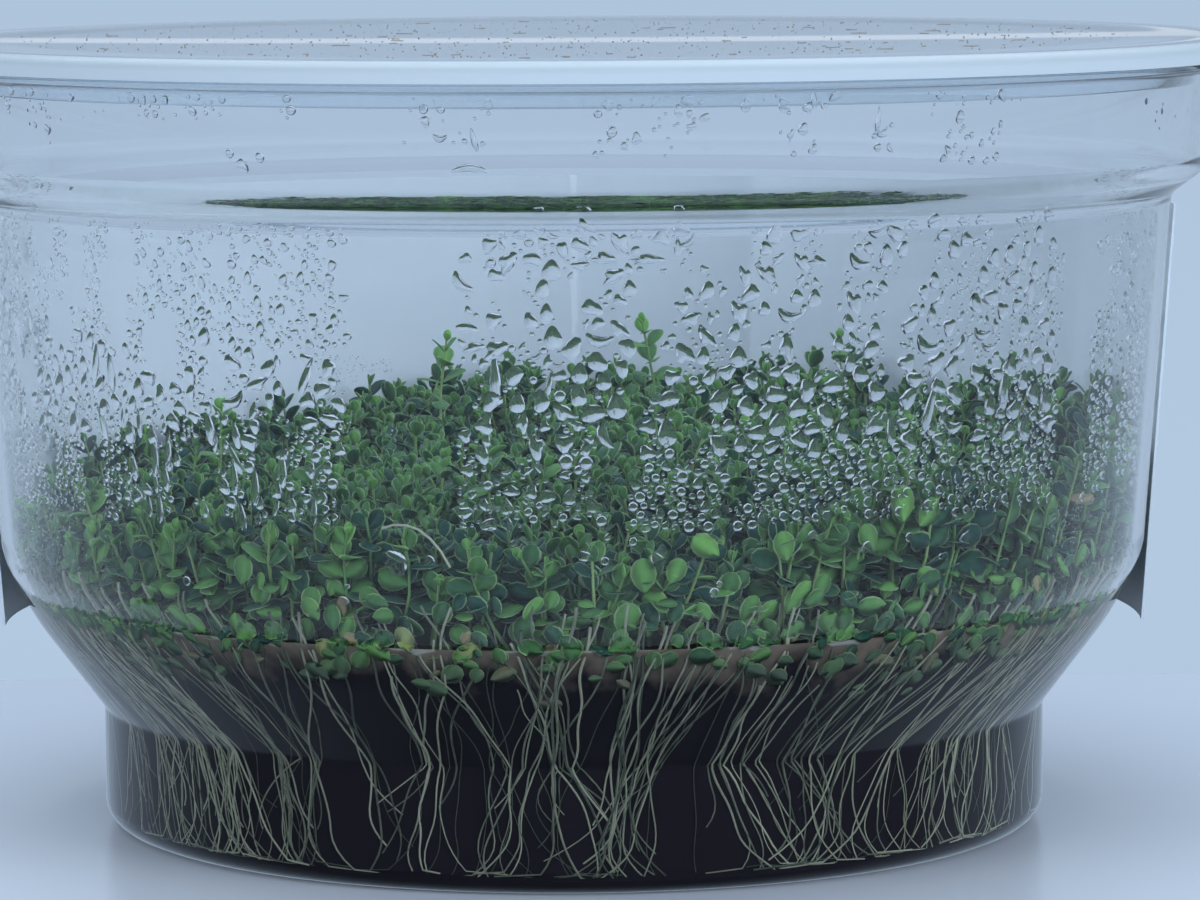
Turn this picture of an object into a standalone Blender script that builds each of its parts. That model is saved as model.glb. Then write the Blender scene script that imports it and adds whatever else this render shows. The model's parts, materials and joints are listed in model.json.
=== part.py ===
"""Tissue culture cup of dwarf baby tears.

A clear moulded cup with a press-on lid holds dark nutrient gel, a carpet of small round leaves in seven
clumps, and the root strands that run down between the gel and the wall. A blank label wraps the rear.
Metres, +Z up, origin at the middle of the base, front towards -Y.
"""

import math
import random

import bmesh
import bpy
from mathutils import Euler, Matrix, Vector, noise

MM = 0.001
COLLECTION = "tissue_culture_dwarf_baby_tears"
ROUND_STEPS = 40
MERGE = 0.00001
SEED = 11

# Cup: outer radii and heights of its turned profile
FOOT_R = 40.0 * MM
FOOT_EDGE_R = 2.1 * MM
FOOT_EDGE_RISE = 1.5 * FOOT_EDGE_R
INNER_EDGE_R = 1.6 * MM
INNER_EDGE_RISE = 3.0 * MM
FOOT_TOP_Z = 10.2 * MM
CONE_TOP = (45.7 * MM, 17.8 * MM)
SHOULDER = (48.45 * MM, 22.9 * MM)
BODY_TOP = (50.65 * MM, 53.2 * MM)
LEDGE_TOP = (53.55 * MM, 55.3 * MM)
COLLAR_TOP = (54.1 * MM, 63.9 * MM)
FLANGE_R = 56.4 * MM
FLANGE_TOP_Z = 65.1 * MM
SOFT_CORNERS = (0.9 * MM, 0.9 * MM, 1.6 * MM, 1.6 * MM, 1.3 * MM)
WALL = 0.9 * MM
FLOOR = 1.0 * MM
CLEAR = 0.3 * MM

# Lid
LID_TOP_Z = 66.3 * MM
LID_R = 57.1 * MM
LID_EDGE_R = 0.6 * MM
LID_PLATE = 0.9 * MM
LID_SAG = 0.5 * MM
SAG_INNER = (0.55, 0.7)
SAG_OUTER = (0.9, 0.15)
SKIRT_LOW_Z = 64.6 * MM
PLUG_R = 52.75 * MM
PLUG_WALL = 0.9 * MM
PLUG_DRAFT = 0.2 * MM
PLUG_LOW_Z = 62.6 * MM
UNDER_DROP = 0.1 * MM

# Label: it follows the body's taper and hangs on below the shoulder
LABEL_TOP_Z = 52.0 * MM
LABEL_LOW_Z = 16.7 * MM
LABEL_THICK = 0.2 * MM
LABEL_START = math.radians(-4.0)
LABEL_SWEEP = math.radians(188.0)

# Gel and roots: the roots lie in the space between the gel and the wall
ROOT_R = 0.4 * MM
ROOT_DEPTH = WALL + CLEAR + ROOT_R
GEL_DEPTH = WALL + 2 * CLEAR + 2 * ROOT_R
GEL_TOP_Z = 20.3 * MM
GEL_CORNER = 1.0 * MM
GEL_CHAMFER = 1.8 * MM
ROOT_LOW_Z = 3.6 * MM
ROOT_SWAY = math.radians(3.6)
ROOT_WAVE = 1.1
ROOT_HEAD_DROP = 0.5 * MM
ROOT_HEAD_RISE = 1.0 * MM
ROOTS_PER_CLUMP = 4
ROOT_SPREAD = (0.4, 0.6)

# Leaf carpet: one round clump in the middle and a ring of clumps round it, each a low dome
CLUMPS = 6
BED_Z = GEL_TOP_Z + CLEAR
CENTRE_R = 17.0 * MM
CARPET_R = 46.8 * MM
CARPET_LOW_R = 45.5 * MM
CARPET_Z = 31.0 * MM
SWELL, SWELL_PITCH, SWELL_LAYER = 1.6 * MM, 15.0 * MM, 3.7
RUFFLE, RUFFLE_PITCH, RUFFLE_LAYER = 1.5 * MM, 2.6 * MM, 8.3
EDGE_DROP = 3.2 * MM
AT_WALL = 0.1 * MM
CLUMP_GAP = 0.45 * MM
SEAM_WAVE = math.radians(6.0)
SEAM_PITCH = 8.0 * MM
SEAM_SHIFT = 2.1
RIM_CELLS = 12
DEPTH_CELLS = 8
CENTRE_CELLS = 9
LEAF_LENGTH = 3.4 * MM
LEAF_WIDTH = 2.8 * MM
LEAF_THICK = 0.9 * MM
LEAF_HEEL = 0.4
LEAF_WAIST, LEAF_SPREAD = 0.9, 0.35
STEM_R = 0.6 * MM
STEM_TIP_SHARE = 0.7
STEM_SINK = 2.5 * MM
SHOOT_REACH = 4.2 * MM
SHOOT_PITCH = 3.1 * MM
LOW_SHOOTS = 2
LOW_SHOOT_RISE = 3.4 * MM
LOW_SHOOT_ROOM = 0.6
TIP_LEAF_SHARE = 0.8
TOP_LEAF_DROP = 0.35 * MM
LEAF_STEP = 0.42 * SHOOT_PITCH
LEAF_TURN = math.radians(187)
PAIR_TURN = math.radians(83)
LEAF_TILTS = (60, 51, 42, 33, 24, 22)

# Taller shoots: place in the carpet and height of the tip
TALL_SHOOTS = (
    (5.5 * MM, 6.0 * MM, 41.5 * MM),
    (-11.0 * MM, 24.0 * MM, 38.5 * MM),
    (25.0 * MM, 21.0 * MM, 39.0 * MM),
    (27.5 * MM, -25.0 * MM, 36.0 * MM),
    (-30.0 * MM, -9.0 * MM, 36.0 * MM),
    (38.0 * MM, 12.0 * MM, 38.0 * MM),
    (-6.0 * MM, -30.0 * MM, 35.0 * MM),
)


def clear_scene():
    """Empties the file, so that the script gives the same model each time."""
    for obj in list(bpy.data.objects):
        bpy.data.objects.remove(obj, do_unlink=True)


def make_collection(name):
    found = bpy.data.collections.get(name)
    if found is None:
        found = bpy.data.collections.new(name)
        bpy.context.scene.collection.children.link(found)
    return found


def make_material(name, colour, roughness, transmission=0.0):
    mat = bpy.data.materials.new(name)
    mat.use_nodes = True
    shader = mat.node_tree.nodes["Principled BSDF"]
    shader.inputs["Base Color"].default_value = (*colour, 1.0)
    shader.inputs["Roughness"].default_value = roughness
    shader.inputs["Metallic"].default_value = 0.0
    shader.inputs["Transmission Weight"].default_value = transmission
    return mat


def add_object(name, mesh, mat, collection):
    obj = bpy.data.objects.new(name, mesh)
    obj.data.materials.clear()
    obj.data.materials.append(mat)
    collection.objects.link(obj)
    return obj


def arc(centre, radius, start, end, steps):
    """Points of an arc in the profile's plane, from angle start to end, both included."""
    turn = (math.radians(start + (end - start) * i / steps) for i in range(steps + 1))
    return [(centre[0] + radius * math.cos(a), centre[1] + radius * math.sin(a)) for a in turn]


def inset(a, b, depth):
    """The line from a to b, moved inwards by depth. a is the higher point of an outer wall."""
    dx, dz = b[0] - a[0], b[1] - a[1]
    length = math.hypot(dx, dz)
    nx, nz = dz / length * depth, -dx / length * depth
    return (a[0] + nx, a[1] + nz), (b[0] + nx, b[1] + nz)


def cross(line_a, line_b):
    """The point where two lines of the profile's plane meet."""
    (x1, z1), (x2, z2) = line_a
    (x3, z3), (x4, z4) = line_b
    flat = (x1 - x2) * (z3 - z4) - (z1 - z2) * (x3 - x4)
    p, q = x1 * z2 - z1 * x2, x3 * z4 - z3 * x4
    return (p * (x3 - x4) - (x1 - x2) * q) / flat, (p * (z3 - z4) - (z1 - z2) * q) / flat


def round_corner(before, corner, after, reach, steps):
    """A soft corner: a curve that leaves and meets the two edges at reach from the corner."""
    c = Vector(corner)
    a = c + (Vector(before) - c).normalized() * reach
    b = c + (Vector(after) - c).normalized() * reach
    parts = (i / steps for i in range(steps + 1))
    return [tuple(a * (1 - t) ** 2 + c * 2 * t * (1 - t) + b * t * t) for t in parts]


def cup_corners(depth):
    """The cup's outer wall moved inwards by depth: collar, ledge, body, cone and foot, top to bottom."""
    runs = (
        (COLLAR_TOP, LEDGE_TOP),
        (LEDGE_TOP, BODY_TOP),
        (BODY_TOP, SHOULDER),
        (SHOULDER, CONE_TOP),
        (CONE_TOP, (FOOT_R, FOOT_TOP_Z)),
        ((FOOT_R, FOOT_TOP_Z), (FOOT_R, 0.0)),
    )
    lines = [inset(a, b, depth) for a, b in runs]
    return [cross(a, b) for a, b in zip(lines, lines[1:])]


def cup_r(depth, z):
    """Radius of the cup's wall at this height, moved inwards by depth, from the shoulder down."""
    _, body, shoulder, cone, foot = cup_corners(depth)
    for (r_high, z_high), (r_low, z_low) in ((body, shoulder), (shoulder, cone), (cone, foot)):
        if z >= z_low:
            return r_low + (r_high - r_low) * (z - z_low) / (z_high - z_low)
    return foot[0]


def cup_wall(depth, top, foot, steps):
    """The softened wall profile from top to foot, at this depth behind the outer face."""
    corners = cup_corners(depth)
    points = [top, *corners, foot]
    wall = [top]
    for i, reach in enumerate(SOFT_CORNERS):
        wall += round_corner(points[i], points[i + 1], points[i + 2], reach, steps)
    return wall


def turned(name, profile, mat, collection):
    """A solid of revolution: an open profile that starts and ends on the axis, turned about Z."""
    mesh = bpy.data.meshes.new(name)
    verts = [(x, 0.0, z) for x, z in profile]
    mesh.from_pydata(verts, [(i, i + 1) for i in range(len(verts) - 1)], [])
    obj = add_object(name, mesh, mat, collection)
    screw = obj.modifiers.new("Turn", "SCREW")
    screw.axis = "Z"
    screw.steps = screw.render_steps = ROUND_STEPS
    screw.use_merge_vertices = True
    screw.merge_threshold = MERGE
    screw.use_smooth_shade = True
    return obj


def make_vessel(mat, collection):
    """The cup: up its inside, over the flange and down its outside."""
    inside_top = (COLLAR_TOP[0] - WALL, FLANGE_TOP_Z)
    inside = cup_wall(WALL, inside_top, (FOOT_R - WALL, INNER_EDGE_RISE), 1)
    corner = (FOOT_R - WALL - INNER_EDGE_R, FLOOR + INNER_EDGE_R)
    inside += arc(corner, INNER_EDGE_R, 0, -90, 1)
    profile = [(0.0, FLOOR), *reversed(inside)]
    profile += [(FLANGE_R, FLANGE_TOP_Z), (FLANGE_R, COLLAR_TOP[1])]
    profile += cup_wall(0.0, COLLAR_TOP, (FOOT_R, FOOT_EDGE_RISE), 2)
    profile += arc((FOOT_R - FOOT_EDGE_R, FOOT_EDGE_R), FOOT_EDGE_R, 0, -90, 2)
    profile.append((0.0, 0.0))
    return turned("vessel", profile, mat, collection)


def make_lid(mat, collection):
    """The lid: a slightly sagging plate, a skirt outside the flange and a plug ring inside the collar."""
    under_z = LID_TOP_Z - LID_PLATE
    skirt_in = FLANGE_R + CLEAR
    plug_in = PLUG_R - PLUG_WALL
    (inner, inner_sag), (outer, outer_sag) = SAG_INNER, SAG_OUTER
    profile = [(0.0, LID_TOP_Z - LID_SAG), (LID_R * inner, LID_TOP_Z - LID_SAG * inner_sag)]
    profile += [(LID_R * outer, LID_TOP_Z - LID_SAG * outer_sag)]
    profile += arc((LID_R - LID_EDGE_R, LID_TOP_Z - LID_EDGE_R), LID_EDGE_R, 90, 0, 2)
    profile += [(LID_R, SKIRT_LOW_Z), (skirt_in, SKIRT_LOW_Z), (skirt_in, under_z)]
    profile += [(PLUG_R, under_z), (PLUG_R - PLUG_DRAFT, PLUG_LOW_Z)]
    profile += [(plug_in, PLUG_LOW_Z), (plug_in, under_z - UNDER_DROP)]
    profile += [(LID_R * inner, under_z - LID_SAG * inner_sag), (0.0, under_z - LID_SAG)]
    return turned("lid", profile, mat, collection)


def make_gel(mat, collection):
    """The gel: it fills the foot and the cone, with a chamfer where the cup's base is rounded."""
    _, _, _, cone_top, foot_top = cup_corners(GEL_DEPTH)
    rim_r = cup_r(GEL_DEPTH, GEL_TOP_Z)
    foot_r = FOOT_R - GEL_DEPTH
    low = FLOOR + CLEAR
    profile = [(0.0, GEL_TOP_Z), (rim_r, GEL_TOP_Z), cone_top]
    profile += round_corner(cone_top, foot_top, (foot_r, low), GEL_CORNER, 2)
    profile += [(foot_r, low + GEL_CHAMFER), (foot_r - GEL_CHAMFER, low), (0.0, low)]
    return turned("gel", profile, mat, collection)


def label_r(z):
    """Radius of the label's inner face at this height: the body's taper, carried on downwards."""
    taper = (BODY_TOP[0] - SHOULDER[0]) / (BODY_TOP[1] - SHOULDER[1])
    return SHOULDER[0] + (z - SHOULDER[1]) * taper + CLEAR


def make_label(mat, collection):
    """The label: part of a cone round the rear, with thickness outwards."""
    mesh = bpy.data.meshes.new("label")
    ends = [Vector((label_r(z), 0.0, z)) for z in (LABEL_TOP_Z, LABEL_LOW_Z)]
    start = Matrix.Rotation(LABEL_START, 3, "Z")
    mesh.from_pydata([start @ p for p in ends], [(0, 1)], [])
    obj = add_object("label", mesh, mat, collection)
    screw = obj.modifiers.new("Wrap", "SCREW")
    screw.axis = "Z"
    screw.angle = LABEL_SWEEP
    screw.steps = screw.render_steps = ROUND_STEPS // 2
    screw.use_merge_vertices = False
    screw.merge_threshold = MERGE
    thick = obj.modifiers.new("Sheet", "SOLIDIFY")
    thick.thickness = LABEL_THICK
    thick.offset = 1.0
    return obj


def ripple(x, y, pitch, layer):
    """Smooth noise over the carpet, between about -1 and 1, with its lumps this far apart."""
    return noise.noise(Vector((x / pitch, y / pitch, layer)))


def carpet_z(x, y, edge):
    """Height of the carpet's top: soft swells, leafy ruffles, and a drop at the edge of each clump."""
    swell = SWELL * ripple(x, y, SWELL_PITCH, SWELL_LAYER)
    ruffle = RUFFLE * ripple(x, y, RUFFLE_PITCH, RUFFLE_LAYER)
    return CARPET_Z + swell + ruffle - EDGE_DROP * edge**5


def seam_angle(index, r):
    """Direction of the seam between two neighbouring clumps, which wanders with the radius."""
    return math.tau * index / CLUMPS + SEAM_WAVE * math.sin(index * SEAM_SHIFT + r / SEAM_PITCH)


def centre_top(u, v):
    """Places a square grid, -1 to 1 each way, on the round middle of the carpet."""
    x = u * math.sqrt(1 - v * v / 2) * (CENTRE_R - CLUMP_GAP)
    y = v * math.sqrt(1 - u * u / 2) * (CENTRE_R - CLUMP_GAP)
    return Vector((x, y, carpet_z(x, y, max(abs(u), abs(v)))))


def sector_r(v):
    return CENTRE_R + (CARPET_R - CENTRE_R) * (v + 1) / 2


def sector_top(index):
    """Places a square grid, -1 to 1 each way, on one outer sector of the carpet."""

    def place(u, v):
        r = sector_r(v)
        gap = CLUMP_GAP / 2 / r
        start = seam_angle(index, r) + gap
        end = seam_angle(index + 1, r) - gap
        a = start + (end - start) * (u + 1) / 2
        x, y = r * math.cos(a), r * math.sin(a)
        return Vector((x, y, carpet_z(x, y, max(abs(u), abs(v)))))

    return place


def closed_mound(name, top, cells, mat, collection):
    """Gives a sheet of carpet its sides and its flat underside. top maps a grid point to a place."""
    mesh = bpy.data.meshes.new(name)
    bm = bmesh.new()
    bmesh.ops.create_grid(bm, x_segments=cells[0], y_segments=cells[1], size=1.0)
    places = {v: top(v.co.x, v.co.y) for v in bm.verts}
    rim = [e for e in bm.edges if e.is_boundary]
    sides = bmesh.ops.extrude_edge_only(bm, edges=rim)["geom"]
    low_verts = [g for g in sides if isinstance(g, bmesh.types.BMVert)]
    low_edges = [g for g in sides if isinstance(g, bmesh.types.BMEdge) and g.is_boundary]
    for v in low_verts:
        above = top(v.co.x, v.co.y)
        at_wall = math.hypot(above.x, above.y) > CARPET_R - AT_WALL
        v.co = above * (CARPET_LOW_R / CARPET_R) if at_wall else above
        v.co.z = BED_Z
    for v, place in places.items():
        v.co = place
    bmesh.ops.contextual_create(bm, geom=low_edges)
    bmesh.ops.recalc_face_normals(bm, faces=bm.faces)
    bm.to_mesh(mesh)
    bm.free()
    return add_object(name, mesh, mat, collection)


def add_leaf(bm, place, turn, tilt):
    """One rounded leaf, six-sided and widest towards its tip, with its heel at place."""
    made = bmesh.ops.create_uvsphere(bm, u_segments=6, v_segments=2, radius=0.5)["verts"]
    for v in made:
        v.co.y *= LEAF_WIDTH * (LEAF_WAIST + LEAF_SPREAD * v.co.x)
        v.co.x = (v.co.x + LEAF_HEEL) * LEAF_LENGTH
        v.co.z *= LEAF_THICK
    spin = Euler((0.0, -tilt, turn)).to_matrix()
    bmesh.ops.transform(bm, matrix=Matrix.Translation(place) @ spin.to_4x4(), verts=made)


def add_shoot(bm, x, y, tip):
    """A stem that stands out of the carpet with leaf pairs, each pair turned across the last."""
    base = CARPET_Z - STEM_SINK
    top = tip - LEAF_LENGTH * TIP_LEAF_SHARE
    pairs = max(2, round((top - base) / SHOOT_PITCH))
    matrix = Matrix.Translation((x, y, (base + top) / 2))
    bmesh.ops.create_cone(
        bm,
        cap_ends=True,
        segments=5,
        radius1=STEM_R,
        radius2=STEM_R * STEM_TIP_SHARE,
        depth=top - base,
        matrix=matrix,
    )
    for i in range(pairs * 2):
        level = top - TOP_LEAF_DROP - i * LEAF_STEP
        turn = x / MM + i * LEAF_TURN + (i // 2) * PAIR_TURN
        tilt = LEAF_TILTS[min(i, len(LEAF_TILTS) - 1)]
        add_leaf(bm, Vector((x, y, level)), turn, math.radians(tilt))


def root_path(start_angle, rng):
    """A root's way from under the carpet, down the cone and the foot, to near the base."""
    *_, cone_top, foot_top = cup_corners(ROOT_DEPTH)
    head_z = BED_Z - ROOT_HEAD_DROP
    heights = (head_z, cone_top[1], (cone_top[1] + foot_top[1]) / 2)
    heights += (foot_top[1], (foot_top[1] + ROOT_LOW_Z) / 2, ROOT_LOW_Z)
    phase = rng.uniform(0, math.tau)
    line = [(cup_r(ROOT_DEPTH, head_z), BED_Z + ROOT_HEAD_RISE)]
    line += [(cup_r(ROOT_DEPTH, z), z) for z in heights]
    path = []
    for i, (r, z) in enumerate(line):
        angle = start_angle + ROOT_SWAY * math.sin(phase + ROOT_WAVE * max(i - 1, 0))
        path.append(Vector((r * math.cos(angle), r * math.sin(angle), z)))
    return path


def tube_mesh(path, radius):
    """A closed tube along the path, as a mesh with its end caps welded on."""
    curve = bpy.data.curves.new("strand", "CURVE")
    curve.dimensions = "3D"
    curve.bevel_depth = radius
    curve.bevel_resolution = 0
    curve.use_fill_caps = True
    spline = curve.splines.new("POLY")
    spline.points.add(len(path) - 1)
    for point, place in zip(spline.points, path):
        point.co = (*place, 1.0)
    obj = bpy.data.objects.new("strand", curve)
    bpy.context.scene.collection.objects.link(obj)
    evaluated = obj.evaluated_get(bpy.context.evaluated_depsgraph_get())
    mesh = bpy.data.meshes.new_from_object(evaluated)
    bpy.data.objects.remove(obj, do_unlink=True)
    bm = bmesh.new()
    bm.from_mesh(mesh)
    bmesh.ops.remove_doubles(bm, verts=bm.verts, dist=MERGE)
    bmesh.ops.recalc_face_normals(bm, faces=bm.faces)
    bm.to_mesh(mesh)
    bm.free()
    return mesh


def add_growth(clump, mesh, mat, cutters):
    """Joins leaves, shoots or roots to a clump, so that it is one closed body."""
    part = add_object(f"{clump.name}_growth", mesh, mat, cutters)
    part.hide_render = True
    part.display_type = "WIRE"
    joined = clump.modifiers.new("Growth", "BOOLEAN")
    joined.operation = "UNION"
    joined.object = part
    joined.use_self = True


def shoots_of(index, place, rng):
    """The places and tips of one clump's shoots: the tall ones that fall in it, and some low ones."""
    found = []
    for x, y, tip in TALL_SHOOTS:
        r, sector = math.hypot(x, y), int((math.atan2(y, x) % math.tau) // (math.tau / CLUMPS)) + 1
        if (0 if r < CENTRE_R else sector) == index:
            found.append((x, y, tip))
    for _ in range(LOW_SHOOTS):
        v = rng.uniform(-LOW_SHOOT_ROOM, LOW_SHOOT_ROOM)
        room = LOW_SHOOT_ROOM if index == 0 else 1.0 - SHOOT_REACH / (sector_r(v) * math.pi / CLUMPS)
        spot = place(rng.uniform(-room, room), v)
        found.append((spot.x, spot.y, spot.z + LOW_SHOOT_RISE))
    return found


def make_clump(index, mats, collection, cutters, rng):
    """One tuft of plants: its mound of carpet, its shoots and, at the wall, its roots."""
    leaf_mat, root_mat = mats
    name = f"clump_{index}" if index else "clump_centre"
    place = sector_top(index - 1) if index else centre_top
    cells = (RIM_CELLS, DEPTH_CELLS) if index else (CENTRE_CELLS, CENTRE_CELLS)
    clump = closed_mound(name, place, cells, leaf_mat, collection)
    bm = bmesh.new()
    for x, y, tip in shoots_of(index, place, rng):
        add_shoot(bm, x, y, tip)
    for k in range(ROOTS_PER_CLUMP if index else 0):
        share = (k + rng.uniform(*ROOT_SPREAD)) / ROOTS_PER_CLUMP
        start = seam_angle(index - 1, CARPET_R) * (1 - share) + seam_angle(index, CARPET_R) * share
        strand = tube_mesh(root_path(start, rng), ROOT_R)
        bm.from_mesh(strand)
        bpy.data.meshes.remove(strand)
    mesh = bpy.data.meshes.new(f"{name}_growth")
    bm.to_mesh(mesh)
    bm.free()
    add_growth(clump, mesh, root_mat, cutters)
    return clump


def main():
    clear_scene()
    collection = make_collection(COLLECTION)
    cutters = make_collection("joining_shapes")
    rng = random.Random(SEED)
    clear = make_material("clear_moulded_plastic", (0.86, 0.93, 0.97), 0.05, 0.95)
    clear_lid = make_material("clear_lid_plastic", (0.80, 0.88, 0.94), 0.12, 0.9)
    white = make_material("white_label_film", (0.80, 0.82, 0.84), 0.5)
    dark_gel = make_material("dark_nutrient_gel", (0.018, 0.014, 0.017), 0.12)
    leaf = make_material("green_leaf", (0.07, 0.22, 0.05), 0.45)
    root = make_material("pale_root", (0.42, 0.45, 0.28), 0.5)
    make_vessel(clear, collection)
    make_lid(clear_lid, collection)
    make_label(white, collection)
    make_gel(dark_gel, collection)
    for index in range(CLUMPS + 1):
        make_clump(index, (leaf, root), collection, cutters, rng)


main()
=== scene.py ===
"""Tissue culture cup of dwarf baby tears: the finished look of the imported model.

A clear moulded cup with a press-on lid holds dark nutrient gel, a carpet of small round leaves and the roots
that run down between gel and wall. Condensation beads the inside, and a blank film label wraps the rear.
Metres, +Z up. A bearing is an angle round the cup in degrees from the front (-Y), positive towards +X.
"""

from __future__ import annotations

import json
import logging
import math
from contextlib import contextmanager
from dataclasses import dataclass, field
from enum import Enum
from typing import Any, Callable, Iterable, Iterator, Mapping, Sequence

import bmesh
import bpy
import numpy as np
from mathutils import Matrix, Vector, noise

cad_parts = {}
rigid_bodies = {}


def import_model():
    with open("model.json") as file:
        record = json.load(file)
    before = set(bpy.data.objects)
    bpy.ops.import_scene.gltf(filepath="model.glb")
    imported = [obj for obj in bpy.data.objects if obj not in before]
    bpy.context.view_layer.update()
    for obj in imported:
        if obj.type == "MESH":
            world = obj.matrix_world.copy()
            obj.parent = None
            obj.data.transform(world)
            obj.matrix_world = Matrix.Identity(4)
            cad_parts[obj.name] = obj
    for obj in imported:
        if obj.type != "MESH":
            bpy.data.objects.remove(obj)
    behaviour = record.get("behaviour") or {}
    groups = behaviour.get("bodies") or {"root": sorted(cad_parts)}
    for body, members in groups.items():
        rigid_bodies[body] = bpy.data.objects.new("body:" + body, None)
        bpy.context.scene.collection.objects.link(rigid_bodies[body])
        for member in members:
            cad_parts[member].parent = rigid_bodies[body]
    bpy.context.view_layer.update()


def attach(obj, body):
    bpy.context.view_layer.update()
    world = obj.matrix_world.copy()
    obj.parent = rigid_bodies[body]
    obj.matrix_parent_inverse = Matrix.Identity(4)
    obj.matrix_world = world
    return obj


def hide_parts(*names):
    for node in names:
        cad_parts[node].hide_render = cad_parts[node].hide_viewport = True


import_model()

LOG = logging.getLogger("culture_cup")
MM = 0.001
BODY = "root"
MERGE = 1e-7
UP = Vector((0.0, 0.0, 1.0))

MATH, RANGE, NOISE = "ShaderNodeMath", "ShaderNodeMapRange", "ShaderNodeTexNoise"
PLACE, SPLIT, BUMP = "ShaderNodeTexCoord", "ShaderNodeSeparateXYZ", "ShaderNodeBump"
MIX, RGBA = "ShaderNodeMix", {"data_type": "RGBA"}
MIX_A, MIX_B, MIX_OUT = 6, 7, 2

Chance = np.random.Generator
Finish = bpy.types.Material
Mesh = bpy.types.Mesh
Piece = bpy.types.Object
Pair = tuple[float, float]
Row = tuple[float, ...]
Socket = bpy.types.NodeSocket
Tree = bpy.types.NodeTree
Values = Mapping[str | int, Any]


def linear(hex_colour: str) -> Row:
    """Turns an sRGB hex colour, # and six digits, into linear red, green and blue with an alpha of 1."""
    parts = (int(hex_colour[i : i + 2], 16) / 255 for i in (1, 3, 5))
    return *(p / 12.92 if p <= 0.04045 else ((p + 0.055) / 1.055) ** 2.4 for p in parts), 1.0


def fill(node: bpy.types.Node, values: Values) -> None:
    """Sets up a node, in the order of the values.

    Args:
        node: the node.
        values: a number, a hex colour or the output to link from, by the input's name or number, and a value
            by the name of a property.
    """
    for key, value in values.items():
        if isinstance(value, Socket):
            node.id_data.links.new(value, node.inputs[key])
        elif isinstance(key, int) or key in node.inputs:
            is_colour = isinstance(value, str) and value.startswith("#")
            node.inputs[key].default_value = linear(value) if is_colour else value
        else:
            setattr(node, key, value)


def add_node(tree: Tree, kind: str, values: Values, out: str | int = 0) -> Socket:
    """Adds a node with its settings and links.

    Args:
        tree: the tree that it goes in.
        kind: the node's type.
        values: its settings and links, as fill takes them.
        out: name or number of the output that is wanted.

    Returns:
        That output.
    """
    node = tree.nodes.new(kind)
    fill(node, values)
    return node.outputs[out]


def new_material(name: str, values: Values) -> tuple[Finish, Tree, bpy.types.Node]:
    """Makes a material that holds one Principled shader.

    Args:
        name: the material's name.
        values: the shader's plain values.

    Returns:
        The material, its tree and its shader.
    """
    made = bpy.data.materials.new(name)
    made.use_nodes = True
    shader = made.node_tree.nodes["Principled BSDF"]
    fill(shader, values)
    return made, made.node_tree, shader


def per_metre(size_mm: float) -> float:
    """The scale of a pattern on coordinates in metres whose features are this many millimetres apart."""
    return 1.0 / (size_mm * MM)


class Slot(Enum):
    """Material slots of the record, one named for each piece."""

    CUP = "clear_cup"
    LID = "clear_lid"
    LABEL = "label_film"
    GEL = "nutrient_gel"
    PLANT = "plant"


@dataclass(frozen=True)
class ClearMouldedPlastic:
    """Injection-moulded clarified polypropylene.

    It reads as water-clear, with a hard gloss and a faint slow waviness where the wall cooled unevenly.
    """

    name: str = "clarified_polypropylene_moulded"
    colour: str = "#fdfeff"
    ior: float = 1.49
    wave_mm: float = 14.0
    wave_height: float = 0.012 * MM

    def make(self) -> Finish:
        """Builds the material's nodes.

        Returns:
            The material.
        """
        clear = {"IOR": self.ior, "Roughness": 0.0, "Transmission Weight": 1.0}
        made, tree, shader = new_material(self.name, {"Base Color": self.colour, **clear})
        place = add_node(tree, PLACE, {}, "Object")
        wave = add_node(tree, NOISE, {"Scale": per_metre(self.wave_mm), "Detail": 1.0, "Vector": place})
        bump = add_node(tree, BUMP, {"Strength": 1.0, "Distance": self.wave_height, "Height": wave})
        fill(shader, {"Normal": bump})
        return made


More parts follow.
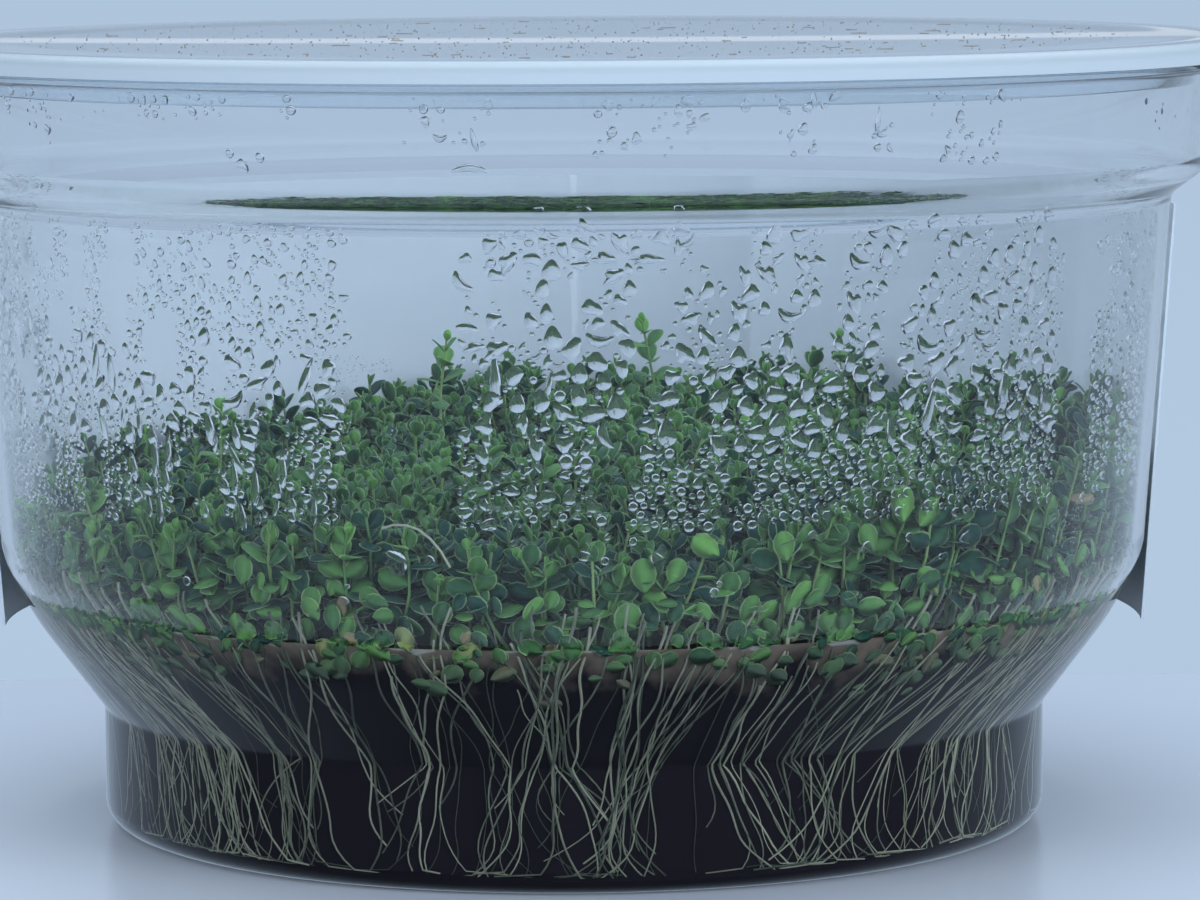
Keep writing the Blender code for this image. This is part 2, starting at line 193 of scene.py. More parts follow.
@dataclass(frozen=True)
class DustyLidPlastic:
    """Clear moulded polypropylene with settled dust on its top face.

    It reads as clear plastic whose upper face is veiled in patches by thin pale dust. Its pale milky rim is a
    painted reflection of the bright sky.
    """

    name: str = "clarified_polypropylene_dusty"
    colour: str = "#f6fbff"
    ior: float = 1.49
    roughness: float = 0.02
    patch_mm: float = 9.0
    fleck_mm: float = 0.7
    least_dust: float = 0.02
    most_dust: float = 0.1
    top_z: float = 65.6 * MM
    painted_rim_reflection_colour: str = "#a2b3bf"
    rim_r: float = 55.9 * MM
    painted_rim_reflection: float = 0.85

    def make(self) -> Finish:
        """Builds the material's nodes.

        Returns:
            The material.
        """
        made, tree, shader = new_material(self.name, {"IOR": self.ior, "Roughness": self.roughness})
        place = add_node(tree, PLACE, {}, "Object")
        patch = add_node(tree, NOISE, {"Scale": per_metre(self.patch_mm), "Detail": 3.0, "Vector": place})
        fleck = add_node(tree, NOISE, {"Scale": per_metre(self.fleck_mm), "Detail": 2.0, "Vector": place})
        both = add_node(tree, MATH, {"operation": "MULTIPLY", 0: patch, 1: fleck})
        spread = {"From Min": 0.16, "From Max": 0.42, "To Min": self.least_dust, "To Max": self.most_dust}
        amount = add_node(tree, RANGE, {**spread, "Value": both})
        height = add_node(tree, SPLIT, {"Vector": place}, "Z")
        on_top = add_node(tree, MATH, {"operation": "GREATER_THAN", 0: height, 1: self.top_z})
        dust = add_node(tree, MATH, {"operation": "MULTIPLY", 0: amount, 1: on_top})
        flat = add_node(tree, "ShaderNodeVectorMath", {"operation": "MULTIPLY", 0: place, 1: (1.0, 1.0, 0.0)})
        reach = add_node(tree, "ShaderNodeVectorMath", {"operation": "LENGTH", 0: flat}, "Value")
        # Painted reflection: past rim_r the plastic turns pale and milky, standing in for the bright sky that
        # the rim reflects.
        outside = {"From Min": self.rim_r, "From Max": self.rim_r + 0.4 * MM, "To Max": self.painted_rim_reflection}
        rim = add_node(tree, RANGE, {**outside, "Value": reach})
        hue = add_node(tree, MIX, {**RGBA, 0: rim, MIX_A: self.colour, MIX_B: self.painted_rim_reflection_colour}, MIX_OUT)
        # The clear share falls both for real dust on top and for the painted rim reflection.
        dust_and_rim_reflection = add_node(tree, MATH, {"operation": "MAXIMUM", 0: dust, 1: rim})
        clear = add_node(tree, MATH, {"operation": "SUBTRACT", 0: 1.0, 1: dust_and_rim_reflection})
        fill(shader, {"Base Color": hue, "Transmission Weight": clear})
        return made


@dataclass(frozen=True)
class NutrientGel:
    """Set agar gel darkened with charcoal.

    It reads as near-black with a purple-brown cast, browner in patches under its surface, with a thin pale
    painted highlight where its wet meniscus ends on the wall.

    Attributes:
        cloud_swing: what the cloud noise is multiplied by and what is then added, to move the brown band.
        highlight_swing: the same for the painted highlight's edge.
    """

    name: str = "charcoal_agar_gel_set"
    deep: str = "#18161e"
    upper: str = "#6e675f"
    # Painted highlight: the pale tone of the thin band where the gel meets the wall stands in for its wet
    # meniscus catching light.
    film: str = "#a4aeaa"
    band_low_z: float = 17.4 * MM
    band_high_z: float = 20.8 * MM
    highlight_z: float = 20.5 * MM
    highlight_soft: float = 0.2 * MM
    highlight_share: float = 0.65
    highlight_mm: float = 3.6
    cloud_mm: float = 3.4
    cloud_swing: Pair = (9.0 * MM, -4.5 * MM)
    highlight_swing: Pair = (3.0 * MM, -1.6 * MM)

    def make(self) -> Finish:
        """Builds the material's nodes.

        Returns:
            The material.
        """
        wet = {"Roughness": 0.3, "IOR": 1.34, "Specular IOR Level": 0.12}
        made, tree, shader = new_material(self.name, wet)
        place = add_node(tree, PLACE, {}, "Object")
        height = add_node(tree, SPLIT, {"Vector": place}, "Z")
        tone: Any = self.deep
        highlight_top_z = self.highlight_z + self.highlight_soft
        for colour, size_mm, detail, swing, start, end, most in (
            (self.upper, self.cloud_mm, 4.0, self.cloud_swing, self.band_low_z, self.band_high_z, 1.0),
            # Second row: the painted highlight along the wall.
            (self.film, self.highlight_mm, 3.0, self.highlight_swing, self.highlight_z, highlight_top_z, self.highlight_share),
        ):
            cloud = add_node(tree, NOISE, {"Scale": per_metre(size_mm), "Detail": detail, "Vector": place})
            shift = add_node(tree, MATH, {"operation": "MULTIPLY_ADD", 0: cloud, 1: swing[0], 2: swing[1]})
            level = add_node(tree, MATH, {"operation": "ADD", 0: height, 1: shift})
            bounds = {"From Min": start, "From Max": end, "To Max": most}
            share = add_node(tree, RANGE, {**bounds, "Value": level})
            tone = add_node(tree, MIX, {**RGBA, 0: share, MIX_A: tone, MIX_B: colour}, MIX_OUT)
        fill(shader, {"Base Color": tone})
        return made


@dataclass(frozen=True)
class LeafTissue:
    """Living leaf of dwarf baby tears, grown wet in a closed cup.

    It reads as soft satin green. Each leaf has a thin paler edge and a pale heel, partly their own colour and
    partly a painted highlight. Young leaves are yellower and older, lower ones deeper, partly as painted
    shade low in the carpet. A few dying ones are straw brown, and those under the gel's line are dull.
    """

    name: str = "leaf_tissue_grown"
    deep: str = "#0e3a35"
    fresh: str = "#6aa354"
    margin_and_highlight: str = "#a8c79c"
    dying: str = "#8c8462"
    sunk: str = "#4b5a50"
    sunk_low_z: float = 18.6 * MM
    sunk_high_z: float = 20.9 * MM
    fleck_mm: float = 0.5

    def make(self) -> Finish:
        """Builds the material's nodes.

        Returns:
            The material.
        """
        flesh = {"Subsurface Weight": 0.12, "Subsurface Radius": (0.35, 1.0, 0.25)}
        satin = {"Roughness": 0.42, "Specular IOR Level": 0.45, "Subsurface Scale": 0.4 * MM}
        made, tree, shader = new_material(self.name, {**satin, **flesh})
        place = add_node(tree, PLACE, {}, "Object")
        height = add_node(tree, SPLIT, {"Vector": place}, "Z")
        tint = add_node(tree, "ShaderNodeAttribute", {"attribute_name": "tint"}, "Fac")
        rim = add_node(tree, "ShaderNodeAttribute", {"attribute_name": "rim"}, "Fac")
        fleck = add_node(tree, NOISE, {"Scale": per_metre(self.fleck_mm), "Detail": 2.0, "Vector": place})
        vary = add_node(tree, MATH, {"operation": "MULTIPLY_ADD", 0: fleck, 1: 0.35, 2: -0.17})
        age = add_node(tree, MATH, {"operation": "ADD", 0: tint, 1: vary})
        tone = add_node(tree, MIX, {**RGBA, 0: age, MIX_A: self.deep, MIX_B: self.fresh}, MIX_OUT)
        for colour, start, end, most, value in (
            (self.dying, 1.2, 1.8, 1.0, age),
            # Paler edge: partly the leaf's own pale edge, partly a painted highlight along it.
            (self.margin_and_highlight, 0.78, 0.98, 0.75, rim),
            (self.sunk, self.sunk_high_z, self.sunk_low_z, 0.72, height),
        ):
            bounds = {"From Min": start, "From Max": end, "To Max": most}
            share = add_node(tree, RANGE, {**bounds, "Value": value})
            tone = add_node(tree, MIX, {**RGBA, 0: share, MIX_A: tone, MIX_B: colour}, MIX_OUT)
        bump = add_node(tree, BUMP, {"Strength": 0.4, "Distance": 0.03 * MM, "Height": fleck})
        fill(shader, {"Base Color": tone, "Normal": bump})
        return made


@dataclass(frozen=True)
class StrandTissue:
    """A thin grown strand, stem or root: pale and slightly waxy, in two tones that vary between strands."""

    name: str
    pale: str
    green: str
    streak_mm: float = 1.2

    def make(self) -> Finish:
        """Builds the material's nodes.

        Returns:
            The material.
        """
        made, tree, shader = new_material(self.name, {"Roughness": 0.45, "Specular IOR Level": 0.4})
        place = add_node(tree, PLACE, {}, "Object")
        tint = add_node(tree, "ShaderNodeAttribute", {"attribute_name": "tint"}, "Fac")
        streak = add_node(tree, NOISE, {"Scale": per_metre(self.streak_mm), "Detail": 2.0, "Vector": place})
        vary = add_node(tree, MATH, {"operation": "MULTIPLY_ADD", 0: streak, 1: 0.5, 2: -0.25})
        share = add_node(tree, MATH, {"operation": "ADD", "use_clamp": True, 0: tint, 1: vary})
        tone = add_node(tree, MIX, {**RGBA, 0: share, MIX_A: self.pale, MIX_B: self.green}, MIX_OUT)
        fill(shader, {"Base Color": tone})
        return made


@dataclass(frozen=True)
class MottledSurface:
    """A plain surface in two tones that drift into each other, for film, dust, undergrowth and the board."""

    name: str
    colour: str
    second: str
    mottle_mm: float
    roughness: float
    specular: float = 0.3
    grain: float = 0.0

    def make(self) -> Finish:
        """Builds the material's nodes.

        Returns:
            The material.
        """
        gloss = {"Roughness": self.roughness, "Specular IOR Level": self.specular}
        made, tree, shader = new_material(self.name, gloss)
        place = add_node(tree, PLACE, {}, "Object")
        mottle = add_node(tree, NOISE, {"Scale": per_metre(self.mottle_mm), "Detail": 4.0, "Vector": place})
        tone = add_node(tree, MIX, {**RGBA, 0: mottle, MIX_A: self.colour, MIX_B: self.second}, MIX_OUT)
        fill(shader, {"Base Color": tone})
        if self.grain:
            bump = add_node(tree, BUMP, {"Strength": 0.3, "Distance": self.grain, "Height": mottle})
            fill(shader, {"Normal": bump})
        return made


def inset(a: Pair, b: Pair, depth: float) -> tuple[Pair, Pair]:
    """Moves an edge of the profile inwards.

    Args:
        a: the edge's higher point.
        b: its lower point.
        depth: how far it moves.

    Returns:
        The moved edge's two points.
    """
    along = Vector(b) - Vector(a)
    inwards = Vector((along.y, -along.x)).normalized() * depth
    return tuple(Vector(a) + inwards), tuple(Vector(b) + inwards)


def cross(first: tuple[Pair, Pair], second: tuple[Pair, Pair]) -> Pair:
    """The point where two lines of the profile's plane meet.

    Args:
        first: two points on one line.
        second: two points on the other.

    Returns:
        The crossing's radius and height.
    """
    (x1, z1), (x2, z2) = first
    (x3, z3), (x4, z4) = second
    flat = (x1 - x2) * (z3 - z4) - (z1 - z2) * (x3 - x4)
    p, q = x1 * z2 - z1 * x2, x3 * z4 - z3 * x4
    return (p * (x3 - x4) - (x1 - x2) * q) / flat, (p * (z3 - z4) - (z1 - z2) * q) / flat


def round_corner(before: Pair, corner: Pair, after: Pair, reach: float, steps: int) -> list[Pair]:
    """Points of a curve that cuts a corner.

    Args:
        before: a point on the edge that comes in.
        corner: the corner itself.
        after: a point on the edge that goes out.
        reach: distance from the corner at which the curve leaves and meets the edges.
        steps: number of spans in the curve.

    Returns:
        The curve's points, both ends included.
    """
    c = Vector(corner)
    a, b = (c + (Vector(end) - c).normalized() * reach for end in (before, after))
    shares = (i / steps for i in range(steps + 1))
    return [tuple(a * (1 - t) ** 2 + c * 2 * t * (1 - t) + b * t * t) for t in shares]


def arc(centre: Pair, radius: float, start: float, end: float, steps: int) -> list[Pair]:
    """Points of an arc in the profile's plane, from start to end degrees, both included."""
    turns = (math.radians(start + (end - start) * i / steps) for i in range(steps + 1))
    return [(centre[0] + radius * math.cos(a), centre[1] + radius * math.sin(a)) for a in turns]


def round_place(bearing: float, radius: float, z: float) -> Vector:
    """The point at this bearing in degrees, radius and height."""
    a = math.radians(bearing)
    return Vector((radius * math.sin(a), -radius * math.cos(a), z))


def ease(share: float) -> float:
    """A share from 0 to 1, softened at both ends."""
    return share * share * (3 - 2 * share)


@dataclass(frozen=True)
class CupProfile:
    """The cup's outer wall as radius and height, from the flange down to the base, and its wall thickness."""

    flange_r: float = 56.4 * MM
    flange_top_z: float = 65.1 * MM
    collar_top: Pair = (54.1 * MM, 63.9 * MM)
    ledge_top: Pair = (53.55 * MM, 55.3 * MM)
    body_top: Pair = (50.65 * MM, 53.2 * MM)
    shoulder: Pair = (48.45 * MM, 22.9 * MM)
    cone_top: Pair = (45.7 * MM, 17.8 * MM)
    foot_top: Pair = (40.0 * MM, 10.2 * MM)
    foot_edge_r: float = 2.1 * MM
    inner_edge_r: float = 2.1 * MM - 0.5 * MM
    wall: float = 0.9 * MM
    floor: float = 1.0 * MM
    soft_corners: Row = (0.9 * MM, 0.7 * MM, 1.6 * MM, 1.6 * MM, 0.3 * MM)

    def corners(self, depth: float) -> list[Pair]:
        """Corners between the wall's edges: ledge, body, shoulder, cone and foot.

        Args:
            depth: how far behind the outer face.

        Returns:
            The corners, top to bottom.
        """
        outer = [self.collar_top, self.ledge_top, self.body_top, self.shoulder, self.cone_top, self.foot_top]
        outer.append((self.foot_top[0], 0.0))
        lines = [inset(a, b, depth) for a, b in zip(outer, outer[1:])]
        return [cross(a, b) for a, b in zip(lines, lines[1:])]

    def radius(self, depth: float, z: Any) -> Any:
        """Radius of the wall.

        Args:
            depth: how far behind the outer face.
            z: one height or an array of them.

        Returns:
            The radius at each height.
        """
        corners = [(self.collar_top[0] - depth, self.collar_top[1]), *self.corners(depth)]
        corners.append((self.foot_top[0] - depth, 0.0))
        radii, heights = zip(*reversed(corners))
        return np.interp(z, heights, radii)

    def spot(self, bearing: float, depth: float, z: float) -> Vector:
        """The place at this depth behind the outer face."""
        return round_place(bearing, float(self.radius(depth, z)), z)

    def line(self, depth: float, top: Pair, foot: Pair, steps: int, lift: float = 0.0) -> list[Pair]:
        """The softened wall profile.

        Args:
            depth: how far behind the outer face.
            top: the profile's first point.
            foot: the profile's last point.
            steps: points in each rounded corner.
            lift: how far the ledge's lower corner lies above that of a wall of even thickness.

        Returns:
            The points from top to foot.
        """
        points = [top, *self.corners(depth), foot]
        points[2] = (points[2][0], points[2][1] + lift)
        wall, reaches = [top], list(self.soft_corners)
        reaches[1] += 1.5 * lift
        for i, reach in enumerate(reaches):
            wall += round_corner(points[i], points[i + 1], points[i + 2], reach, steps)
        return [*wall, foot]


def link(name: str, data: bpy.types.ID) -> Piece:
    """Puts a mesh, a lamp or a camera in the scene as an object at the origin.

    Args:
        name: the object's name.
        data: what it shows.

    Returns:
        The object.
    """
    made = bpy.data.objects.new(name, data)
    bpy.context.scene.collection.objects.link(made)
    return made


def kept(bm: bmesh.types.BMesh, name: str) -> Mesh:
    """Turns an edited mesh's faces outwards and keeps it.

    Args:
        bm: the edited mesh, used up.
        name: the kept mesh's name.

    Returns:
        The kept mesh.
    """
    bmesh.ops.recalc_face_normals(bm, faces=bm.faces)
    made = bpy.data.meshes.new(name)
    bm.to_mesh(made)
    bm.free()
    return made


def turned(
    name: str, profile: Sequence[Pair], steps: int, start: float = 0.0, sweep: float = 360.0
) -> Piece:
    """A profile turned about Z into a closed, outward-facing piece.

    Args:
        name: the piece's name.
        profile: radius and height of each point. It starts and ends on the axis, or is a closed loop.
        steps: spans round the sweep.
        start: where the sweep starts, in degrees from +X.
        sweep: how far it turns, in degrees. Under a full turn, both ends are closed by a face.

    Returns:
        The piece.
    """
    bm = bmesh.new()
    first = Matrix.Rotation(math.radians(start), 3, "Z")
    ring = [bm.verts.new(first @ Vector((r, 0.0, z))) for r, z in profile]
    open_ended = sweep < 360.0
    loop = [*zip(ring, ring[1:]), *([(ring[-1], ring[0])] if open_ended else [])]
    edges = [bm.edges.new(pair) for pair in loop]
    turn = {"axis": (0, 0, 1), "cent": (0, 0, 0), "angle": math.radians(sweep), "steps": steps}
    spun = bmesh.ops.spin(bm, geom=[*ring, *edges], **turn)
    if open_ended:
        bm.faces.new(ring)
        far = [v for v in spun["geom_last"] if isinstance(v, bmesh.types.BMVert)]
        bmesh.ops.contextual_create(bm, geom=[e for e in bm.edges if all(v in far for v in e.verts)])
    bmesh.ops.remove_doubles(bm, verts=bm.verts, dist=MERGE)
    mesh = kept(bm, name)
    mesh.shade_smooth()
    mesh.set_sharp_from_angle(angle=math.radians(38.0))
    return link(name, mesh)


def dress(piece: Piece, finish: Finish) -> None:
    """Gives a piece one material."""
    piece.data.materials.clear()
    piece.data.materials.append(finish)


def seat(piece: Piece, slot: Slot, *nodes: str) -> None:
    """Fixes a finished piece to the part and reports it.

    Args:
        piece: the piece's object.
        slot: the record's slot; not used.
        nodes: the CAD nodes that it stands for.
    """
    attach(piece, BODY)
    if nodes:
        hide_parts(*nodes)
    piece.data.calc_loop_triangles()
    LOG.info("%s: %d triangles, for %s", piece.name, len(piece.data.loop_triangles), nodes or "no node")


def with_columns(name: str, points: Sequence[Any], edges: Sequence[Any], columns: Mapping[str, Any]) -> Mesh:
    """A mesh of points and edges for a geometry tree to read.

    Args:
        name: the mesh's name.
        points: the places.
        edges: pairs of places.
        columns: each attribute's values, one for each point, by its name.

    Returns:
        The mesh.
    """
    made = bpy.data.meshes.new(name)
    made.from_pydata(points, edges, [])
    for title, values in columns.items():
        table = np.array(values)
        plain = ("INT" if table.dtype.kind == "i" else "FLOAT", "value")
        kind, key = ("FLOAT_VECTOR", "vector") if table.ndim == 2 else plain
        made.attributes.new(title, kind, "POINT").data.foreach_set(key, table.ravel())
    return made


@dataclass
class Places:
    """Where small shapes stand: each one's place, turn, size, kind and tint."""

    rows: list[tuple[Any, ...]] = field(default_factory=list)

    def add(
        self, spot: Vector, axes: Matrix, size: Sequence[float], kind: int = 0, tint: float = 0.0
    ) -> None:
        """Adds a place.

        Args:
            spot: the shape's origin.
            axes: the shape's own X, Y and Z as columns.
            size: its scale each way.
            kind: which of the shapes it is.
            tint: a number that its material reads.
        """
        self.rows.append((tuple(spot), tuple(axes.to_euler()), tuple(size), kind, tint))

    def mesh(self, name: str) -> Mesh:
        """The places as a mesh of points with attributes."""
        spots, *columns = zip(*self.rows)
        return with_columns(name, spots, (), dict(zip(("turn", "size", "kind", "tint"), columns)))


@dataclass
class Lines:
    """Strands to be made into tubes: each one's points, its thickness along them and its tint."""

    points: list[Vector] = field(default_factory=list)
    edges: list[tuple[int, int]] = field(default_factory=list)
    girths: list[float] = field(default_factory=list)
    tints: list[float] = field(default_factory=list)

    def add(self, path: Sequence[Vector], thick: Callable[[float], float], tint: float) -> None:
        """Adds a strand.

        Args:
            path: its points.
            thick: its radius at a share, 0 to 1, of its length.
            tint: a number that its material reads.
        """
        first, last = len(self.points), len(path) - 1
        self.points += path
        self.edges += [(first + i, first + i + 1) for i in range(last)]
        self.girths += [thick(i / last) for i in range(last + 1)]
        self.tints += [tint] * (last + 1)

    def mesh(self, name: str) -> Mesh:
        """The strands as a mesh of edges with attributes."""
        return with_columns(name, self.points, self.edges, {"girth": self.girths, "tint": self.tints})


def begin_tree(name: str, choice: str, kind: str) -> tuple[Tree, Any]:
    """Starts a geometry tree with its named inputs and its Geometry output.

    Args:
        name: the tree's name.
        choice: the name of the one input that is its own.
        kind: that input's type.

    Returns:
        The tree, and its inputs as outputs of the Group Input node.
    """
    tree = bpy.data.node_groups.new(name, "GeometryNodeTree")
    both = (("Overall size", "Float"), ("Finish", "Material"))
    for title, form in (("Geometry", "Geometry"), (choice, kind), *both):
        tree.interface.new_socket(title, in_out="INPUT", socket_type=f"NodeSocket{form}")
    tree.interface.new_socket("Geometry", in_out="OUTPUT", socket_type="NodeSocketGeometry")
    return tree, tree.nodes.new("NodeGroupInput").outputs


def end_tree(tree: Tree, shape: Socket, finish: Socket) -> Tree:
    """Ends a geometry tree with smooth shading, real geometry and the material.

    Args:
        tree: the tree.
        shape: the geometry so far.
        finish: the material.

    Returns:
        The tree.
    """
    smooth = add_node(tree, "GeometryNodeSetShadeSmooth", {"Geometry": shape})
    real = add_node(tree, "GeometryNodeRealizeInstances", {"Geometry": smooth})
    dressed = add_node(tree, "GeometryNodeSetMaterial", {"Geometry": real, "Material": finish})
    fill(tree.nodes.new("NodeGroupOutput"), {"Geometry": dressed})
    return tree


def shapes_on_points() -> Tree:
    """Stands one of several small shapes on each point of a mesh.

    Returns:
        The geometry tree.
    """
    tree, given = begin_tree("small_shapes_on_points", "Shapes", "Collection")
    turn, size, kind = (
        add_node(tree, "GeometryNodeInputNamedAttribute", {"data_type": form, "Name": title})
        for title, form in (("turn", "FLOAT_VECTOR"), ("size", "FLOAT_VECTOR"), ("kind", "INT"))
    )
    turned_by = add_node(tree, "FunctionNodeEulerToRotation", {"Euler": turn})
    scaled = {"operation": "SCALE", 0: size, "Scale": given["Overall size"]}
    scale = add_node(tree, "ShaderNodeVectorMath", scaled)
    one_by_one = {"Separate Children": True, "Reset Children": True}
    shapes = add_node(tree, "GeometryNodeCollectionInfo", {**one_by_one, "Collection": given["Shapes"]})
    stand = {"Points": given["Geometry"], "Instance": shapes, "Rotation": turned_by, "Scale": scale}
    pick = {"Pick Instance": True, "Instance Index": kind}
    return end_tree(tree, add_node(tree, "GeometryNodeInstanceOnPoints", {**stand, **pick}), given["Finish"])


def tubes_on_lines() -> Tree:
    """Makes each line of a mesh a closed round tube of its own thickness.

    Returns:
        The geometry tree.
    """
    tree, given = begin_tree("tubes_on_lines", "Sides", "Int")
    girth = add_node(tree, "GeometryNodeInputNamedAttribute", {"data_type": "FLOAT", "Name": "girth"})
    thick = add_node(tree, MATH, {"operation": "MULTIPLY", 0: girth, 1: given["Overall size"]})
    line = add_node(tree, "GeometryNodeMeshToCurve", {"Mesh": given["Geometry"]})
    circle = {"mode": "RADIUS", "Radius": 1.0, "Resolution": given["Sides"]}
    ring = add_node(tree, "GeometryNodeCurvePrimitiveCircle", circle)
    tube = {"Curve": line, "Profile Curve": ring, "Scale": thick, "Fill Caps": True}
    return end_tree(tree, add_node(tree, "GeometryNodeCurveToMesh", tube), given["Finish"])


def grown(name: str, mesh: Mesh, tree: Tree, finish: Finish, **choice: Any) -> Piece:
    """Runs a geometry tree on a mesh once and keeps what it makes.

    Args:
        name: the name of the object that is made.
        mesh: the points or lines that the tree reads, used up.
        tree: the geometry tree.
        finish: the material.
        choice: the value of the tree's own input, by its name.

    Returns:
        An object with a plain mesh and no modifier.
    """
    host = link(name, mesh)
    run = host.modifiers.new("Grow", "NODES")
    run.node_group = tree
    sockets = {item.name: item.identifier for item in tree.interface.items_tree if item.in_out == "INPUT"}
    for title, value in {**choice, "Overall size": 1.0, "Finish": finish}.items():
        run[sockets[title]] = value
    made = bpy.data.meshes.new_from_object(host.evaluated_get(bpy.context.evaluated_depsgraph_get()))
    bpy.data.objects.remove(host, do_unlink=True)
    bpy.data.meshes.remove(mesh)
    made.name = name
    return link(name, made)


def joined(name: str, parts: Sequence[Piece]) -> Piece:
    """Joins objects into one that has all their materials.

    Args:
        name: the name of the whole.
        parts: the objects, used up.

    Returns:
        The whole.
    """
    first = parts[0]
    chosen = {"selected_objects": parts, "selected_editable_objects": parts}
    with bpy.context.temp_override(active_object=first, object=first, **chosen):
        bpy.ops.object.join()
    first.name = first.data.name = name
    return first


@contextmanager
def shape_set(title: str, meshes: Iterable[Mesh]) -> Iterator[bpy.types.Collection]:
    """Keeps small shapes out of the scene, in this order, for a tree to pick from, and then removes them.

    Args:
        title: the set's name.
        meshes: the shapes.

    Yields:
        The set.
    """
    shapes = bpy.data.collections.new(title)
    for k, mesh in enumerate(meshes):
        shapes.objects.link(bpy.data.objects.new(f"{title}_{k:02d}", mesh))
    yield shapes
    for shape in list(shapes.objects):
        bpy.data.objects.remove(shape, do_unlink=True)
    bpy.data.collections.remove(shapes)


@dataclass
class Vessel:
    """The clear cup, one moulding: base, foot, cone, shoulder, body, ledge, collar and flange."""

    cup: CupProfile
    steps: int = 160
    corner_steps: int = 7
    lip: float = 0.3 * MM
    fillet: float = 0.5 * MM
    ledge_lift: float = 0.33 * MM
    lift_full: float = 14.0
    lift_gone: float = 46.0

    def ease_ledge(self, mesh: Mesh, even: Sequence[Pair]) -> None:
        """Lets the ledge's extra thickness run out towards the sides.

        Args:
            mesh: the cup.
            even: radius and height of the inner face where the wall is of even thickness.
        """
        radii, heights = zip(*reversed(even))
        low, high = self.cup.body_top[1] - 2 * MM, self.cup.ledge_top[1] + 0.6 * MM
        for v in mesh.vertices:
            r, z = v.co.xy.length, v.co.z
            if low < z < high and r <= self.cup.radius(0.5 * self.cup.wall, z):
                away = abs(math.degrees(math.atan2(v.co.x, -v.co.y)))
                gone = min(1.0, max(0.0, (away - self.lift_full) / (self.lift_gone - self.lift_full)))
                v.co.z += (float(np.interp(r, radii, heights)) - z) * ease(gone)

    def build(self, finish: Finish) -> None:
        """Builds the cup and fixes it to the part.

        Args:
            finish: the cup's material.
        """
        c, lip = self.cup, self.lip
        top = (c.collar_top[0] - c.wall, c.flange_top_z - lip)
        foot = (c.foot_top[0] - c.wall, 3.0 * MM)
        inside = c.line(c.wall, top, foot, self.corner_steps, self.ledge_lift)
        edge_r = c.inner_edge_r
        inside += arc((foot[0] - edge_r, c.floor + edge_r), edge_r, 0, -90, self.corner_steps)
        profile = [(0.0, c.floor), *reversed(inside), *arc((top[0] + lip, top[1]), lip, 180, 90, 4)]
        profile += arc((c.flange_r - lip, c.flange_top_z - lip), lip, 90, 0, 4)
        profile += arc((c.flange_r - lip, c.collar_top[1] + lip), lip, 0, -90, 4)
        root = (c.collar_top[0] + self.fillet, c.collar_top[1])
        fillet = round_corner(root, c.collar_top, c.ledge_top, self.fillet, 4)
        low = (c.foot_top[0], c.foot_edge_r * 1.5)
        profile += [*fillet[:-1], *c.line(0.0, fillet[-1], low, self.corner_steps)]
        profile += arc((c.foot_top[0] - c.foot_edge_r, c.foot_edge_r), c.foot_edge_r, 0, -90, 6)
        piece = turned("vessel_shell", [*profile, (0.0, 0.0)], self.steps)
        self.ease_ledge(piece.data, c.line(c.wall, top, foot, self.corner_steps))
        dress(piece, finish)
        piece.visible_shadow = False
        seat(piece, Slot.CUP, "vessel")


@dataclass
class Lid:
    """The clear press-on lid: a slightly sagging plate, a skirt round the flange and a plug ring."""

    cup: CupProfile
    top_z: float = 66.3 * MM
    radius: float = 57.1 * MM
    plate: float = 0.9 * MM
    sag: float = 0.5 * MM
    skirt_low_z: float = 64.6 * MM
    plug_r: float = 52.75 * MM
    plug_wall: float = 0.9 * MM
    plug_low_z: float = 62.6 * MM
    clear: float = 0.3 * MM
    edge: float = 0.6 * MM
    soft: float = 0.2 * MM
    steps: int = 160

    def plate_top(self, r: float) -> float:
        """Height of the plate's top face at this radius."""
        share = min(1.0, r / (self.radius * 0.93))
        return self.top_z - self.sag * (1 - share**2)

    def build(self, finish: Finish) -> None:
        """Builds the lid and fixes it to the part.

        Args:
            finish: the lid's material.
        """
        edge, soft = self.edge, self.soft
        skirt_in, under = self.cup.flange_r + self.clear, self.top_z - self.plate
        plug_z, inner = self.plug_low_z + soft, self.plug_r - self.plug_wall
        rings = [self.radius * 0.93 * i / 16 for i in range(17)]
        profile = [(r, self.plate_top(r)) for r in rings]
        profile += arc((self.radius - edge, self.top_z - edge), edge, 90, 0, 7)
        profile += [(self.radius, self.skirt_low_z), (skirt_in, self.skirt_low_z)]
        profile += arc((skirt_in - soft, under - soft), soft, 0, 90, 3)
        profile += [(self.plug_r, under), (self.plug_r - soft, plug_z)]
        profile += arc((self.plug_r - 0.5 * self.plug_wall, plug_z), soft, -20, -160, 4)
        profile += [(inner, plug_z), (inner, under - 0.15 * MM)]
        profile += [(r, self.plate_top(r) - self.plate) for r in reversed(rings) if r < inner - 0.5 * MM]
        piece = turned("lid_shell", profile, self.steps)
        dress(piece, finish)
        piece.visible_shadow = False
        seat(piece, Slot.LID, "lid")


